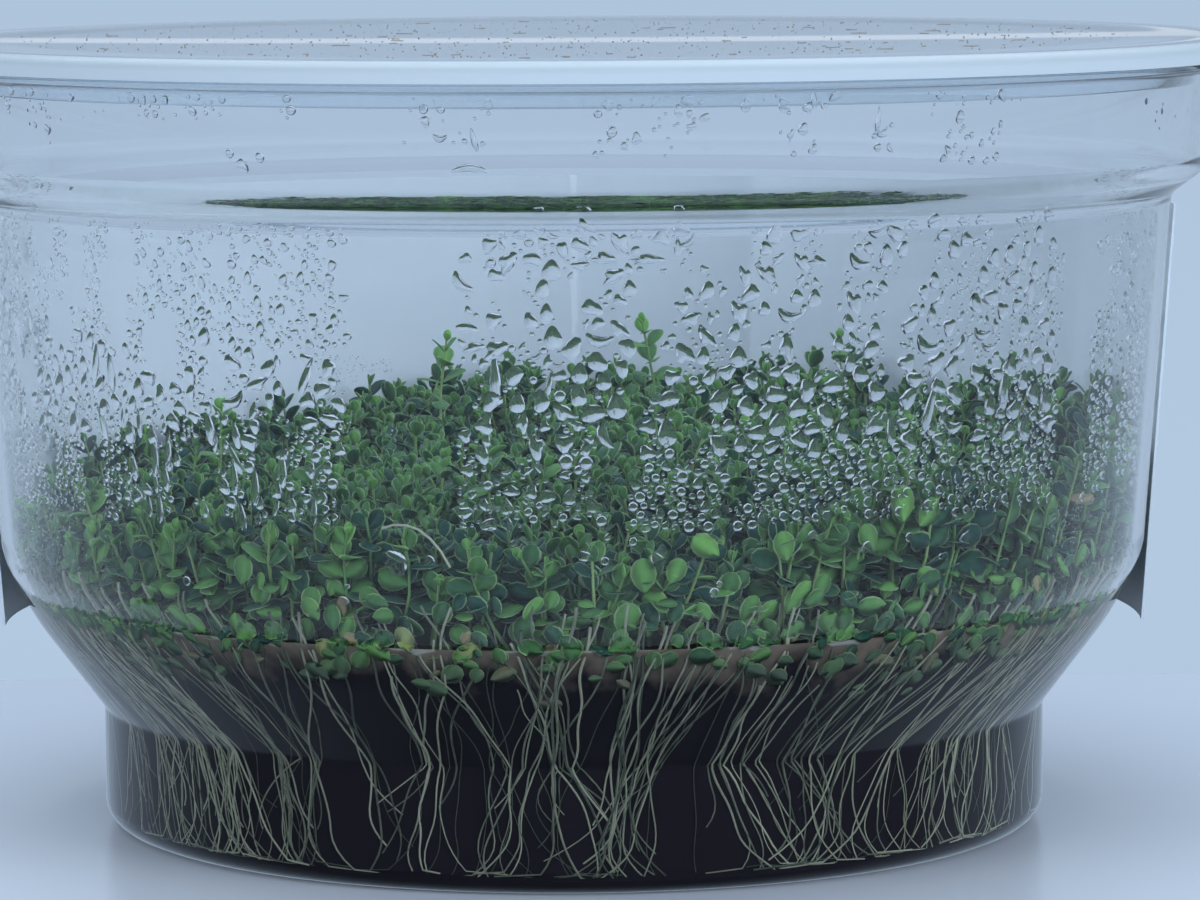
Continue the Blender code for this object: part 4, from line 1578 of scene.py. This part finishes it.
@dataclass
class Roots:
    """Root strands pressed between the gel and the wall. The front bundles are rows of a Bundle's values."""

    cup: CupProfile
    seed: int = 23
    pale_from: float = 38.0
    ring_z: float = 10.2 * MM
    thin: float = 0.06 * MM
    thick: float = 0.145 * MM
    depth: float = 0.44 * MM
    steps: int = 30
    hems: int = 26
    strays: int = 36
    front: tuple[Row, ...] = (
        (-66, -6, 8, 6, 8, 2), (-58, -7, 11, 8, 8, 3), (-50, -8, 13, 9, 7, 4), (-43, -9, 13, 9, 7, 3),
        (-36, -8, 13, 9, 6, 1), (-31, -3, 7, 9, 8, -2), (-24, -2, 4, 6, 5, 1),
        (-16.5, -2.5, 5, 3, 4, -3.5), (-15.5, 4, 3, 3, 3, -3), (-8, -6.5, 3, 2.5, 5, -1.5),
        (-5.5, 3, 5, 5, 6, -4), (-1.2, -5, 3, 2, 3, -2.5), (-0.9, -4.5, 4, 2, 2, 5),
        (-1.5, 3, 4, 3, 2, 3), (5, 0.8, 6, 2, 2, -1.6), (7, 3, 4, 3.5, 4, -0.5), (9.2, 7, 9, 4, 4, -4),
        (16.2, 3, 5, 3, 4, 3.5), (20, 4, 7, 4, 5, 5), (24.5, 5, 5, 5, 6, 5), (28, 9, 6, 7, 6, 3),
        (33, 8, 8, 9, 9, -4), (40, 9, 9, 9, 7, -4), (47, 9, 9, 9, 7, -3), (54, 8, 8, 8, 6, -2),
        (62, 6, 7, 8, 6, 0), (-64, -6, 6, 6, 8, 2), (-54, -7, 7, 8, 8, 3), (-46, -8, 7, 9, 7, 3),
        (51, 8, 7, 8, 6, -2), (58, 7, 7, 8, 6, -1),
    )
    rear_bundles: int = 26
    rear_from: float = 70.0
    rear_to: float = 290.0

    def grow(self, carpet: Carpet, strands: list[Lines]) -> None:
        """Makes every strand and gives it to the clump above it.

        Args:
            carpet: the carpet, which says whose each strand is.
            strands: takes the strands, one set for each clump.
        """

        def give(path: list[Vector], girth: float, taper: Callable[[float], float], tint: float) -> None:
            """Gives one strand to its clump."""
            strands[carpet.clump_at(path[0])].add(path, lambda s: girth * taper(s), tint)

        rng = np.random.default_rng(self.seed)
        bundles = [Bundle(*row) for row in self.front]
        for k in range(self.rear_bundles):
            share = (k + rng.uniform(0.2, 0.8)) / self.rear_bundles
            ring = self.rear_from + (self.rear_to - self.rear_from) * share
            bundles.append(Bundle(ring, rng.normal(0, 5), int(rng.integers(4, 10)), 7, 9, rng.normal(0, 3)))
        for bundle in bundles:
            for _ in range(bundle.count):
                path = self.path(bundle, rng)
                girth = rng.uniform(self.thin, self.thick)
                tint = rng.random() ** (1.6 if abs(bundle.ring) > self.pale_from else 0.7)
                give(path, girth, lambda s: 1.0 - 0.45 * s, tint)
        for _ in range(self.strays):
            ring = rng.uniform(-self.rear_from, self.rear_from)
            path = self.path(Bundle(ring, rng.normal(0, 4), 1, 2, 2, rng.normal(0, 4)), rng)
            give(path, self.thin, lambda s: 0.9 - 0.4 * s, 1.0)
        for _ in range(self.hems):
            give(self.hem(rng), self.thin, lambda s: 0.35 + 0.65 * math.sin(math.pi * s), 1.0)

    def path(self, bundle: Bundle, rng: Chance) -> list[Vector]:
        """The way of one strand, from under the leaves to near the base.

        Args:
            bundle: the bundle that it runs in.
            rng: the source of chance.

        Returns:
            The strand's points, top to bottom.
        """
        head_z = (rng.uniform(20.3, 24.4) if rng.random() < 0.85 else rng.uniform(16.0, 20.0)) * MM
        end_z = (rng.uniform(1.2, 2.0) if rng.random() < 0.7 else rng.uniform(2.0, 8.0)) * MM
        turn = rng.choice((-1.0, 1.0)) * rng.uniform(0.8, 3.2)
        lay = rng.normal(0, 0.5)
        head = bundle.ring + bundle.head + (0.8 * lay + rng.normal(0, 0.3)) * bundle.top_spread
        ring = bundle.ring + 1.5 * lay + rng.normal(0, 0.35)
        foot = ring + bundle.foot + (0.6 * lay + rng.normal(0, 0.22)) * bundle.foot_spread
        waves = [(0.035 * pitch, pitch * MM, rng.uniform(0, math.tau)) for pitch in rng.uniform(3.5, 15.0, 2)]
        sunk = rng.normal(0.44, 0.03) * MM
        path = []
        for k in range(self.steps + 1):
            z = head_z + (end_z - head_z) * k / self.steps
            if z > self.ring_z:
                share = (head_z - z) / (head_z - self.ring_z)
                bearing = head + (ring - head) * (ease(share) * 0.35 + share * 0.65)
            else:
                share = (self.ring_z - z) / (self.ring_z - end_z)
                bearing = ring + (foot - ring) * share**0.85
                bearing += turn * max(0.0, 1.0 - (z - end_z) / (3.0 * MM)) ** 2
            bearing += sum(size * math.sin(z / pitch * math.tau + phase) for size, pitch, phase in waves)
            above = min(1.0, max(0.0, (z - 20.0 * MM) / (1.2 * MM)))
            path.append(self.place(bearing, z, sunk + (self.cup.wall + 0.2 * MM - sunk) * above))
        if end_z < 2.0 * MM and rng.random() < 0.6:
            path += [self.place(bearing + 0.4 * turn * k, end_z - 0.04 * k * MM, sunk) for k in range(1, 6)]
        return path

    def place(self, bearing: float, z: float, depth: float) -> Vector:
        """A place behind the cup's outer face, round the base's soft edge too.

        Args:
            bearing: where it is round the cup.
            z: its height.
            depth: how far behind the face.

        Returns:
            The place.
        """
        edge_r = self.cup.foot_edge_r
        r = float(self.cup.radius(depth, z))
        if z < edge_r:
            r -= (edge_r - depth) * (1 - math.sqrt(max(0.0, 1 - ((edge_r - z) / (edge_r - depth)) ** 2)))
        return round_place(bearing, r, z)

    def hem(self, rng: Chance) -> list[Vector]:
        """A strand that runs along the base's edge.

        Args:
            rng: the source of chance.

        Returns:
            Its points.
        """
        bearing, reach = rng.uniform(0, 360), rng.uniform(9, 30)
        z, pitch, phase = rng.uniform(0.95, 1.9) * MM, rng.uniform(5, 11), rng.uniform(0, math.tau)
        path = []
        for k in range(self.steps):
            turn = bearing + reach * k / self.steps
            rise = 0.13 * MM * math.sin(math.tau * (turn - bearing) / pitch + phase)
            path.append(self.place(turn, z + rise, self.depth))
        return path


class Bead(Enum):
    """Outlines of condensed drops, in the order in which the shapes are kept."""

    ROUND = 0
    BLOB = 1
    LOBED = 2
    TEAR = 3
    BOW = 4
    RUN = 5
    RAGGED = 6
    CREST = 7
    SMALL = 8
    FOG = 9


SWELLS: Mapping[Bead, tuple[tuple[int, float, float], ...]] = {
    Bead.BLOB: ((2, 0.15, 0.6), (3, 0.1, 2.0)),
    Bead.LOBED: ((2, 0.12, 0.0), (3, 0.2, 0.5)),
    Bead.RAGGED: ((2, 0.2, 1.0), (3, 0.1, 1.4), (5, 0.07, 2.0)),
    Bead.CREST: ((3, 0.16, 1.57), (4, 0.13, 0.4), (5, 0.08, 0.0)),
}
AROUND = {Bead.FOG: 6, Bead.SMALL: 8, Bead.RAGGED: 16, Bead.CREST: 16, Bead.RUN: 14}
CONTACT = {Bead.ROUND: 74.0, Bead.SMALL: 66.0, Bead.FOG: 60.0, Bead.RUN: 62.0}


def bead_outline(bead: Bead, turn: float) -> Pair:
    """One point of a drop's outline, for a drop about two units wide.

    Args:
        bead: the outline.
        turn: the point's direction, in radians.

    Returns:
        The point.
    """
    swell = 1.0 + sum(size * math.cos(n * turn + phase) for n, size, phase in SWELLS.get(bead, ()))
    x, y = swell * math.cos(turn), swell * math.sin(turn)
    shaped = {
        Bead.TEAR: (x * (0.92 - 0.34 * y), y * 1.3),
        Bead.BOW: (x * 1.5, y * (0.62 + 0.1 * x)),
        Bead.CREST: (x * 1.35, y * 0.75),
        Bead.RUN: (x * (0.62 - 0.22 * y), y * 2.4),
    }
    return shaped.get(bead, (x, y))


def bead_mesh(bead: Bead) -> Mesh:
    """A drop that sits on the plane z = 0 and bulges towards +Z like a cap of a ball, closed underneath.

    Args:
        bead: its outline.

    Returns:
        The mesh.
    """
    around = AROUND.get(bead, 12)
    contact = math.radians(CONTACT.get(bead, 54.0))
    slopes = [contact * share for share in ((1.0, 0.55) if around < 10 else (1.0, 0.72, 0.36))]
    verts, faces = [], []
    for slope in slopes:
        share, rise = math.sin(slope) / math.sin(contact), math.cos(slope) - math.cos(contact)
        for k in range(around):
            x, y = (share * c for c in bead_outline(bead, math.tau * k / around))
            bend = 0.34 * x * x - 0.25 if bead is Bead.BOW else 0.0
            verts.append((x, y + bend, rise / math.sin(contact)))
    for ring in range(len(slopes) - 1):
        for k in range(around):
            a, b = ring * around + k, ring * around + (k + 1) % around
            faces.append((a, b, b + around, a + around))
    top = len(verts)
    verts.append((0.0, -0.25 if bead is Bead.BOW else 0.0, (1.0 - math.cos(contact)) / math.sin(contact)))
    last = top - around
    faces += [(last + k, last + (k + 1) % around, top) for k in range(around)]
    faces.append(tuple(reversed(range(around))))
    made = bpy.data.meshes.new(f"bead_{bead.name.lower()}")
    made.from_pydata(verts, [], faces)
    made.shade_smooth()
    made.set_sharp_from_angle(angle=math.radians(60))
    return made


Mixture = Mapping[Bead, float]
FOGGED: Mixture = {Bead.FOG: 1}
BEADED: Mixture = {Bead.ROUND: 6, Bead.BLOB: 2, Bead.LOBED: 1}
MIXED: Mixture = {
    Bead.ROUND: 3, Bead.BLOB: 2, Bead.LOBED: 2, Bead.TEAR: 2, Bead.BOW: 0.8, Bead.RUN: 0.7, Bead.RAGGED: 2.5,
    Bead.CREST: 1.5,
}
TORN: Mixture = {
    Bead.BLOB: 2, Bead.LOBED: 2, Bead.TEAR: 2, Bead.BOW: 1, Bead.RAGGED: 3, Bead.CREST: 3, Bead.ROUND: 1,
}
RUNNING: Mixture = {Bead.RUN: 3, Bead.TEAR: 3, Bead.ROUND: 3, Bead.BLOB: 2, Bead.RAGGED: 2}
SPRAY: Mixture = {Bead.ROUND: 2, Bead.TEAR: 2, Bead.BLOB: 2, Bead.RAGGED: 1}
PACKED: Mixture = {Bead.ROUND: 6, Bead.BLOB: 3, Bead.TEAR: 1}
EVEN: Mixture = {Bead.ROUND: 5, Bead.TEAR: 1, Bead.BLOB: 1}
FEW: Mixture = {Bead.BLOB: 1, Bead.ROUND: 2}


@dataclass(frozen=True)
class Dew:
    """A patch of condensation on the inside of the wall.

    Attributes:
        bearings: where it starts and ends round the cup.
        heights: its lowest and highest point, in millimetres.
        per_cm2: drops on each square centimetre where it is densest.
        widths: smallest and largest drop, in millimetres.
        shapes: how often each outline occurs.
        patchy: how strongly bare places break it up, 0 to 1.
    """

    bearings: Pair
    heights: Pair
    per_cm2: float
    widths: Pair
    shapes: Mixture
    patchy: float


DEW_PATCHES = (
    Dew((-70, -20), (44.0, 53.6), 420, (0.22, 0.8), SPRAY, 0.75),
    Dew((-71, -21), (36, 46), 520, (0.3, 1.4), MIXED, 0.5),
    Dew((-70, -47), (29.5, 39), 900, (0.24, 0.7), BEADED, 0.35),
    Dew((-52, -22), (30.5, 38), 680, (0.3, 1.2), RUNNING, 0.4),
    Dew((-23, -16), (37.5, 43.5), 1100, (0.09, 0.2), FOGGED, 0.3),
    Dew((-9.5, 50), (43, 53.6), 430, (0.28, 1.5), TORN, 0.6),
    Dew((-8.5, 51), (36, 44.5), 650, (0.3, 1.6), MIXED, 0.35),
    Dew((5, 52), (30.2, 38), 1100, (0.3, 0.86), PACKED, 0.3),
    Dew((-10, 8), (30.5, 38), 520, (0.28, 1.1), MIXED, 0.45),
    Dew((35, 52), (36, 50), 520, (0.28, 0.75), EVEN, 0.3),
    Dew((58, 63), (29.5, 51), 560, (0.3, 0.85), BEADED, 0.3),
    Dew((65, 74), (29.5, 50), 420, (0.3, 0.8), BEADED, 0.6),
    Dew((-57, -46), (57.5, 63.4), 130, (0.3, 0.85), MIXED, 0.75),
    Dew((-39, -23), (61.6, 63.5), 260, (0.3, 0.85), BEADED, 0.5),
    Dew((-29, -25), (57.8, 59.2), 150, (0.6, 1.1), BEADED, 0.1),
    Dew((-15, -4), (60, 63.5), 170, (0.25, 0.85), MIXED, 0.7),
    Dew((2, 41), (59, 63.5), 150, (0.25, 0.95), MIXED, 0.7),
    Dew((32, 39), (57.6, 60.5), 260, (0.3, 0.75), BEADED, 0.4),
    Dew((-40, 45), (24, 30), 5.0, (0.5, 1.2), FEW, 0.2),
    Dew((-75, -50), (21.5, 29.5), 520, (0.12, 0.3), FOGGED, 0.5),
    Dew((52, 75), (21.5, 29.5), 520, (0.12, 0.3), FOGGED, 0.5),
    Dew((76, 108), (30, 53.4), 90, (0.25, 1.1), MIXED, 0.7),
    Dew((252, 288), (30, 53.4), 90, (0.25, 1.1), MIXED, 0.7),
    Dew((76, 285), (57.5, 63.4), 14, (0.3, 0.8), MIXED, 0.8),
)
# Bearing, height, outline, width, length and spin of single drops, in millimetres and degrees.
LONE_DROPS: tuple[tuple[float, float, Bead, float, float, float], ...] = (
    (-16.2, 27.5, Bead.BLOB, 2.0, 1.9, 60.0), (-38.9, 25.0, Bead.ROUND, 0.8, 0.8, 0.0),
    (-21.5, 24.3, Bead.BLOB, 0.9, 0.8, 0.0), (-13.0, 27.7, Bead.BLOB, 0.8, 0.9, 0.0),
    (7.0, 51.0, Bead.CREST, 1.9, 0.9, 0.0), (-8.0, 58.1, Bead.BOW, 1.9, 1.0, 180.0),
    (-9.0, 45.8, Bead.BLOB, 1.6, 0.8, 10.0), (-8.4, 44.3, Bead.CREST, 1.2, 0.9, -15.0),
    (34.8, 38.6, Bead.RUN, 1.3, 1.7, 14.0), (30.6, 37.2, Bead.RUN, 1.3, 1.1, -8.0),
    (-0.3, 35.5, Bead.ROUND, 1.15, 1.2, 0.0), (1.5, 35.4, Bead.ROUND, 1.1, 1.1, 0.0),
    (10.2, 34.2, Bead.ROUND, 0.95, 1.0, 0.0), (22.4, 37.6, Bead.BLOB, 1.3, 1.1, 0.0),
    (-42.0, 34.5, Bead.RUN, 1.1, 1.2, 5.0), (-32.0, 37.0, Bead.RUN, 1.1, 1.0, -12.0),
)


@dataclass
class Condensation:
    """The drops on the inside of the cup. It keeps the middle and half width of each, by cell of space."""

    cup: CupProfile
    seed: int = 31
    patch_pitch: float = 2.6 * MM
    stand_off: float = 0.012 * MM
    cell: float = 1.7 * MM
    small: float = 0.5
    round_most: float = 0.95
    split_at: float = -12.0
    rear_from: float = 76.0
    taken: dict[tuple[int, ...], list[tuple[Vector, float]]] = field(default_factory=dict)

    def frame_at(self, bearing: float, z: float) -> tuple[Vector, Matrix]:
        """Finds a place on the inner wall and its axes.

        Args:
            bearing: where it is round the cup.
            z: its height.

        Returns:
            The place, with X sideways, Y up the wall and Z into the cup as columns.
        """
        depth, step = self.cup.wall + self.stand_off, 0.05 * MM
        spot = self.cup.spot(bearing, depth, z)
        up = (self.cup.spot(bearing, depth, z + step) - spot).normalized()
        a = math.radians(bearing)
        sideways = Vector((-math.cos(a), -math.sin(a), 0.0))
        return spot, Matrix((sideways, up, sideways.cross(up))).transposed()

    def lay(self, dew: Dew, rng: Chance, places: Places) -> None:
        """Lays one patch of drops, none on top of another.

        Args:
            dew: the patch.
            rng: the source of chance.
            places: takes the drops.
        """
        low, high = (h * MM for h in dew.heights)
        span = math.radians(dew.bearings[1] - dew.bearings[0])
        area = span * float(self.cup.radius(0.0, (low + high) / 2)) * (high - low) * 1e4
        kinds = list(dew.shapes)
        odds = np.array([dew.shapes[k] for k in kinds], dtype=float)
        odds /= odds.sum()
        spread = dew.widths[1] - dew.widths[0]
        for share in sorted(rng.random(int(area * dew.per_cm2)), reverse=True):
            bearing, z = rng.uniform(*dew.bearings), rng.uniform(low, high)
            width = dew.widths[0] + spread * share**2.6
            chosen = kinds[int(rng.choice(len(kinds), p=odds))]
            if width < self.small and chosen is not Bead.FOG:
                chosen = Bead.SMALL
            elif width > self.round_most and chosen is Bead.ROUND:
                chosen = Bead.RAGGED
            spin = rng.normal(0, 0.2) if chosen in (Bead.TEAR, Bead.RUN) else rng.uniform(-math.pi, math.pi)
            if chosen is Bead.BOW:
                spin = rng.normal(0, 0.7)
            spot, axes = self.frame_at(bearing, z)
            pitch = Vector((self.patch_pitch, self.patch_pitch, 2.4 * self.patch_pitch))
            veil = noise.noise(Vector(a / b for a, b in zip(spot, pitch)) + Vector((7.0, 0.0, 0.0)))
            half = width * MM / 2
            if veil < -0.45 + dew.patchy * 0.75 * rng.uniform(0.5, 1.0) or self.crowded(spot, half):
                continue
            stretch = (rng.uniform(0.9, 1.1), rng.uniform(0.9, 1.15), rng.uniform(0.8, 1.0))
            places.add(spot, axes @ Matrix.Rotation(spin, 3, "Z"), [half * s for s in stretch], chosen.value)

    def crowded(self, spot: Vector, half: float) -> bool:
        """Tests whether a drop would run into another, and keeps its place if not.

        Args:
            spot: the drop's middle.
            half: half its width.

        Returns:
            True if it would.
        """
        cell = tuple(int(c // self.cell) for c in spot)
        for step in np.ndindex(3, 3, 3):
            near = self.taken.get(tuple(c + s - 1 for c, s in zip(cell, step)), ())
            if any((other - spot).length < 1.06 * (other_half + half) for other, other_half in near):
                return True
        self.taken.setdefault(cell, []).append((spot, half))
        return False

    def lone_drop(self, drop: tuple[float, float, Bead, float, float, float], places: Places) -> None:
        """Adds one of the single drops and keeps the room that it takes along its length.

        Args:
            drop: its row in the table.
            places: takes the drop.
        """
        bearing, z_mm, bead, width, height, spin = drop
        spot, axes = self.frame_at(bearing, z_mm * MM)
        size = (width / 2 * MM, height / 2 * MM, min(width, height) / 2 * MM)
        places.add(spot, axes @ Matrix.Rotation(math.radians(spin), 3, "Z"), size, bead.value)
        long = bead is Bead.RUN
        for step in (-0.9, -0.45, 0.0, 0.45, 0.9) if long else (-0.3, 0.0, 0.3):
            self.crowded(spot + axes.col[1 if long else 0] * step * size[0], 0.8 * size[0])

    def build(self, tree: Tree, finish: Finish) -> None:
        """Builds the drops of the front left, the front right and the rear, and fixes them to the part.

        Args:
            tree: the tree for shapes on points.
            finish: the water.
        """
        rng = np.random.default_rng(self.seed)
        sets = {title: Places() for title in ("left", "right", "rear")}
        for drop in LONE_DROPS:
            self.lone_drop(drop, sets["left" if drop[0] < self.split_at else "right"])
        for dew in DEW_PATCHES:
            middle = sum(dew.bearings) / 2
            title = "rear" if middle > self.rear_from else "left" if middle < self.split_at else "right"
            self.lay(dew, rng, sets[title])
        with shape_set("bead", map(bead_mesh, Bead)) as shapes:
            for title, places in sets.items():
                name = f"condensation_{title}"
                seat(grown(name, places.mesh("drops"), tree, finish, Shapes=shapes), Slot.CUP)


@dataclass(frozen=True)
class Softbox:
    """A soft rectangular lamp that faces the cup, unseen but for the rear one's glint on the plastic.

    Attributes:
        name: the lamp's name.
        place: where it hangs.
        size: its width and height.
        watts: its power.
        hue: its colour.
        aim_z: height of the point on the cup's axis that it faces.
        glints: whether the plastic mirrors it.
    """

    name: str
    place: Row
    size: Pair
    watts: float
    hue: str = "#f4f9ff"
    aim_z: float = 0.03
    glints: bool = False

    def hang(self) -> None:
        """Puts the lamp in the scene."""
        light = bpy.data.lights.new(self.name, "AREA")
        light.shape = "RECTANGLE"
        light.size, light.size_y = self.size
        light.energy = self.watts
        light.color = linear(self.hue)[:3]
        lamp = link(self.name, light)
        lamp.location = self.place
        way = Vector((0.0, 0.0, self.aim_z)) - Vector(self.place)
        lamp.rotation_euler = way.to_track_quat("-Z", "Y").to_euler()
        lamp.visible_camera = lamp.visible_transmission = False
        lamp.visible_glossy = self.glints


@dataclass
class Studio:
    """Plain pale ground, soft light, and the camera at the photograph's angle."""

    board_depth: float = 77.0 * MM
    ground_half: float = 3.2
    ground_drop: float = 0.03 * MM
    lens: float = 165.4
    eye: Row = (2.34 * MM, -467.0 * MM, 81.8 * MM)
    pitch: float = 6.2
    roll: float = -0.31
    sky: str = "#c8d4e2"
    front_sky: str = "#8f9aa6"
    backdrop: str = "#b2c7df"
    upper: str = "#eaf4ff"
    upper_gain: float = 3.4
    lamps: tuple[Softbox, ...] = (
        Softbox("overhead", (-0.1, -0.1, 1.1), (0.9, 0.9), 6.0, "#f6faff"),
        Softbox("front", (-0.1, -1.2, 0.5), (0.8, 0.6), 4.0),
        Softbox("left", (-0.95, -0.75, 0.5), (0.8, 0.6), 7.5),
        Softbox("right", (0.95, -0.75, 0.5), (0.8, 0.6), 12.5),
        Softbox("rear_strip", (0.0, 1.7, 0.128), (2.6, 0.012), 0.026, "#fbf8f4", 0.066, True),
    )

    def ground(self) -> None:
        """The pale board that the cup stands on, and the ground behind it, lit to one even pale blue."""
        near = MottledSurface("pale_board_satin", "#b7c1d0", "#b4bfcd", 40.0, 0.22).make()
        glow = {"Emission Color": "#abc0d6", "Emission Strength": 1.0}
        matt = {"Base Color": "#363c42", "Roughness": 1.0, "Specular IOR Level": 0.0}
        far = new_material("pale_blue_backdrop_lit", {**matt, **glow})[0]
        half, edge = self.ground_half, self.board_depth
        for name, low_y, high_y, finish in (("board", -half, edge, near), ("ground", edge, half, far)):
            mesh = bpy.data.meshes.new(name)
            plan = ((-half, low_y), (half, low_y), (half, high_y), (-half, high_y))
            mesh.from_pydata([(x, y, -self.ground_drop) for x, y in plan], [], [(0, 1, 2, 3)])
            made = link(name, mesh)
            dress(made, finish)
            made.visible_glossy = False

    def world(self) -> None:
        """An even pale sky that lights the cup, with a dimmer room in front for the reflections alone."""
        made = bpy.data.worlds.new("pale_studio")
        bpy.context.scene.world = made
        made.use_nodes = True
        tree = made.node_tree
        ray = add_node(tree, "ShaderNodeLightPath", {}).node.outputs
        way = add_node(tree, SPLIT, {"Vector": add_node(tree, PLACE, {}, "Generated")}).node.outputs
        to_front = {"From Min": -0.05, "From Max": 0.9, "To Min": 0.1, "To Max": 0.88}
        walls = add_node(tree, RANGE, {**to_front, "Value": way["Y"]})
        ceiling = add_node(tree, RANGE, {"From Min": 0.3, "From Max": 0.7, "To Max": 1.1, "Value": way["Z"]})
        room = add_node(tree, MATH, {"operation": "MAXIMUM", 0: walls, 1: ceiling})
        height = add_node(tree, RANGE, {"From Min": 0.05, "From Max": 0.45, "Value": way["Z"]})
        to_rear = add_node(tree, RANGE, {"From Min": -0.7, "From Max": 0.2, "Value": way["Y"]})
        through = {0: ray["Is Camera Ray"], 1: ray["Is Transmission Ray"]}
        seen_through = add_node(tree, MATH, {"operation": "MAXIMUM", **through})
        tones: list[Any] = []
        for share, low, high in (
            (room, (0.0, 0.0, 0.0, 1.0), self.backdrop),
            (height, self.backdrop, tuple(self.upper_gain * c for c in linear(self.upper))),
            (to_rear, self.front_sky, self.sky),
        ):
            bounds = {} if tones else {"clamp_factor": False}
            tones.append(add_node(tree, MIX, {**RGBA, **bounds, 0: share, MIX_A: low, MIX_B: high}, MIX_OUT))
        mirrored, overhead, soft = tones
        seen = add_node(tree, MIX, {**RGBA, 0: seen_through, MIX_A: soft, MIX_B: overhead}, MIX_OUT)
        glossy = {0: ray["Is Glossy Ray"], MIX_A: seen, MIX_B: mirrored}
        whole = add_node(tree, MIX, {**RGBA, **glossy}, MIX_OUT)
        fill(tree.nodes["Background"], {"Strength": 1.0, "Color": whole})

    def camera(self) -> None:
        """The camera at the photograph's viewing angle."""
        camera = bpy.data.cameras.new("camera")
        camera.lens = self.lens
        camera.sensor_width = 36.0
        camera.clip_start, camera.clip_end = 0.02, 20.0
        eye = link("camera", camera)
        level = Matrix.Rotation(math.radians(90.0 - self.pitch), 4, "X")
        turn = Matrix.Rotation(math.radians(self.roll), 4, "Z")
        eye.matrix_world = Matrix.Translation(self.eye) @ level @ turn
        bpy.context.scene.camera = eye

    def build(self) -> None:
        """Sets the ground, the lamps, the sky and the camera."""
        self.ground()
        self.world()
        self.camera()
        for lamp in self.lamps:
            lamp.hang()
        scene = bpy.context.scene
        scene.view_settings.view_transform = "Standard"
        scene.cycles.max_bounces = scene.cycles.transmission_bounces = 24


def main() -> None:
    """Builds every piece in order, then the studio."""
    logging.basicConfig(level=logging.INFO, format="%(name)s: %(message)s")
    cup, trees = CupProfile(), (shapes_on_points(), tubes_on_lines())
    lid = Lid(cup)
    Vessel(cup).build(ClearMouldedPlastic().make())
    lid.build(DustyLidPlastic().make())
    # Settled household dust: dull grey specks and fibres.
    LidDust(lid).build(trees, MottledSurface("household_dust_settled", "#77736c", "#a3a29c", 2.0, 0.9).make())
    # Cast film: an even, slightly satin off-white sheet with a very fine mottle.
    film = MottledSurface("white_polypropylene_film_cast", "#cedfed", "#c8d9e8", 3.0, 0.42, 0.4, 0.02 * MM)
    Label(cup).build(film.make())
    Gel(cup).build(NutrientGel().make())
    finishes = (
        LeafTissue().make(),
        StrandTissue("stem_tissue_grown", "#8aa571", "#4f7c48").make(),
        StrandTissue("root_tissue_grown", "#a0a896", "#3c4741").make(),
        # Old stems and leaves in deep shade: near-black green without gloss.
        MottledSurface("undergrowth_shaded", "#122c25", "#0a1915", 1.5, 0.9).make(),
    )
    Carpet(cup).build(trees, finishes, Roots(cup))
    # Beads of condensed water: bright, fully clear lenses with crisp dark and light rims.
    water = {"Base Color": (1.0, 1.0, 1.0, 1.0), "IOR": 1.333, "Roughness": 0.0, "Transmission Weight": 1.0}
    Condensation(cup).build(trees[0], new_material("condensed_water", water)[0])
    Studio().build()


if __name__ == "__main__":
    main()
